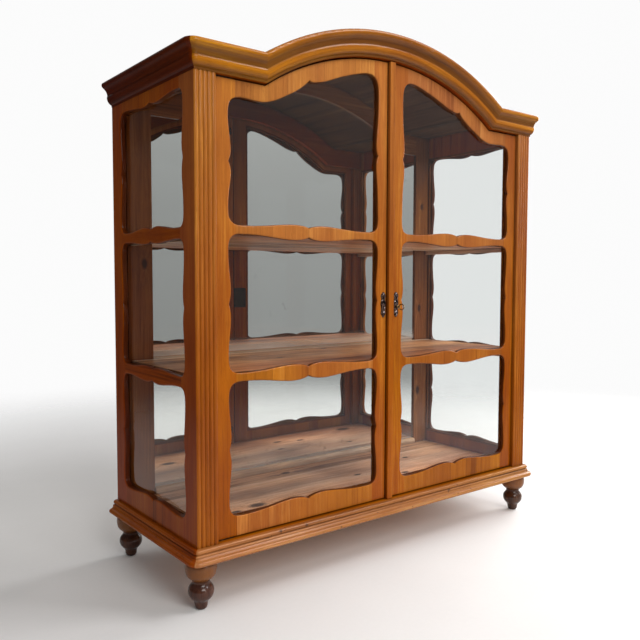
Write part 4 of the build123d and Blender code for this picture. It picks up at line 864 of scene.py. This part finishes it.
def studio_floor():
    net = Net("pale_floor")
    n1 = net.noise(net.vmul(net.p, (1.3, 1.3, 1.3)), 1.0, 4.0, 0.6)
    n2 = net.noise(net.vmul(net.p, (90, 90, 90)), 1.0, 2.0, 0.5)
    colour = net.ramp(net.add(net.mul(n1, 0.8), net.mul(n2, 0.2)), [(0.3, grey(0.80)), (0.7, grey(0.86))])
    surf = net.principled(colour, 0.75, net.bump(n2, 0.05, 0.0004))
    # the sheet fades out some way from the cabinet
    x, y, z = net.split(net.p)
    away = net.math("SQRT", net.add(net.mul(x, x), net.mul(y, y)))
    clear = net.node("ShaderNodeBsdfTransparent")
    m = net.node("ShaderNodeMixShader")
    net.put(m.inputs[0], net.remap(away, 1.1, 3.4, smooth=True))
    net.tree.links.new(surf.outputs[0], m.inputs[1])
    net.tree.links.new(clear.outputs[0], m.inputs[2])
    net.tree.links.new(m.outputs[0], net.out.inputs[0])
    bm = bmesh.new()
    s = 4.0
    verts = [bm.verts.new(c) for c in ((-s, -s, 0), (s, -s, 0), (s, s, 0), (-s, s, 0))]
    bm.faces.new(verts)
    bmesh.ops.subdivide_edges(bm, edges=bm.edges[:], cuts=6, use_grid_fill=True)
    o = new_object("studio_floor", bm, net.mat, smooth=False)


studio_floor()

world = bpy.data.worlds.new("studio")
scene.world = world
world.use_nodes = True
wt = world.node_tree
wt.nodes.clear()
w_out = wt.nodes.new("ShaderNodeOutputWorld")
w_coord = wt.nodes.new("ShaderNodeTexCoord")
w_sep = wt.nodes.new("ShaderNodeSeparateXYZ")
wt.links.new(w_coord.outputs["Generated"], w_sep.inputs[0])
w_map = wt.nodes.new("ShaderNodeMapRange")
w_map.inputs["From Min"].default_value = -0.5
w_map.inputs["From Max"].default_value = 1.0
wt.links.new(w_sep.outputs[2], w_map.inputs["Value"])
# soft room for what mirrors it: dim near the horizon, bright overhead
w_ramp = wt.nodes.new("ShaderNodeValToRGB")
els = w_ramp.color_ramp.elements
while len(els) < 5:
    els.new(0.5)
for e, (pos, v) in zip(els, ((0.0, 0.50), (0.30, 0.46), (0.40, 0.52), (0.55, 0.72), (0.9, 1.0))):
    e.position = pos
    e.color = (v, v * 0.99, v * 0.97, 1)
wt.links.new(w_map.outputs[0], w_ramp.inputs[0])
w_gloss = wt.nodes.new("ShaderNodeBackground")
w_gloss.inputs["Strength"].default_value = 0.9
w_left = wt.nodes.new("ShaderNodeMapRange")
w_left.interpolation_type = "SMOOTHSTEP"
w_left.inputs["From Min"].default_value = -0.45
w_left.inputs["From Max"].default_value = 0.15
w_left.inputs["To Min"].default_value = 0.10
w_left.inputs["To Max"].default_value = 1.0
wt.links.new(w_sep.outputs[0], w_left.inputs["Value"])
w_dim = wt.nodes.new("ShaderNodeMix")
w_dim.data_type = "RGBA"
w_dim.blend_type = "MULTIPLY"
w_dim.inputs[0].default_value = 1.0
wt.links.new(w_ramp.outputs[0], w_dim.inputs[6])
wt.links.new(w_left.outputs[0], w_dim.inputs[7])
wt.links.new(w_dim.outputs[2], w_gloss.inputs["Color"])
w_soft = wt.nodes.new("ShaderNodeBackground")
w_soft.inputs["Color"].default_value = (1.0, 0.985, 0.97, 1)
w_soft.inputs["Strength"].default_value = 0.30
w_seen = wt.nodes.new("ShaderNodeBackground")
w_seen.inputs["Color"].default_value = (0.97, 0.97, 0.97, 1)
w_seen.inputs["Strength"].default_value = 1.0
w_path = wt.nodes.new("ShaderNodeLightPath")
w_mix1 = wt.nodes.new("ShaderNodeMixShader")
wt.links.new(w_path.outputs["Is Glossy Ray"], w_mix1.inputs[0])
wt.links.new(w_soft.outputs[0], w_mix1.inputs[1])
wt.links.new(w_gloss.outputs[0], w_mix1.inputs[2])
w_mix = wt.nodes.new("ShaderNodeMixShader")
wt.links.new(w_path.outputs["Is Camera Ray"], w_mix.inputs[0])
wt.links.new(w_mix1.outputs[0], w_mix.inputs[1])
wt.links.new(w_seen.outputs[0], w_mix.inputs[2])
wt.links.new(w_mix.outputs[0], w_out.inputs[0])


def area(name, place, target, sx, sy, power, colour=(1, 1, 1), glossy=True):
    d = bpy.data.lights.new(name, "AREA")
    d.shape = "RECTANGLE"
    d.size, d.size_y = sx, sy
    d.energy = power
    d.color = colour
    o = bpy.data.objects.new(name, d)
    scene.collection.objects.link(o)
    o.location = place
    o.rotation_euler = (Vector(target) - Vector(place)).to_track_quat("-Z", "Y").to_euler()
    o.visible_glossy = glossy
    return o


area("key_light", (-0.7, -3.9, 2.8), (-0.1, 0.0, 0.75), 2.2, 1.8, 92.0, (1.0, 0.97, 0.93))
area("strip_light", (0.25, -3.9, 1.15), (-0.3, -0.2, 0.8), 0.5, 1.9, 9.0, (1.0, 0.97, 0.94))
area("sky_light", (1.9, -1.9, 3.5), (0.0, -0.2, 0.7), 1.5, 1.5, 70.0, (1.0, 0.97, 0.97))
area("side_light", (3.2, 0.2, 1.9), (0.0, 0.1, 0.6), 2.0, 2.0, 100.0, (1.0, 0.99, 0.97))
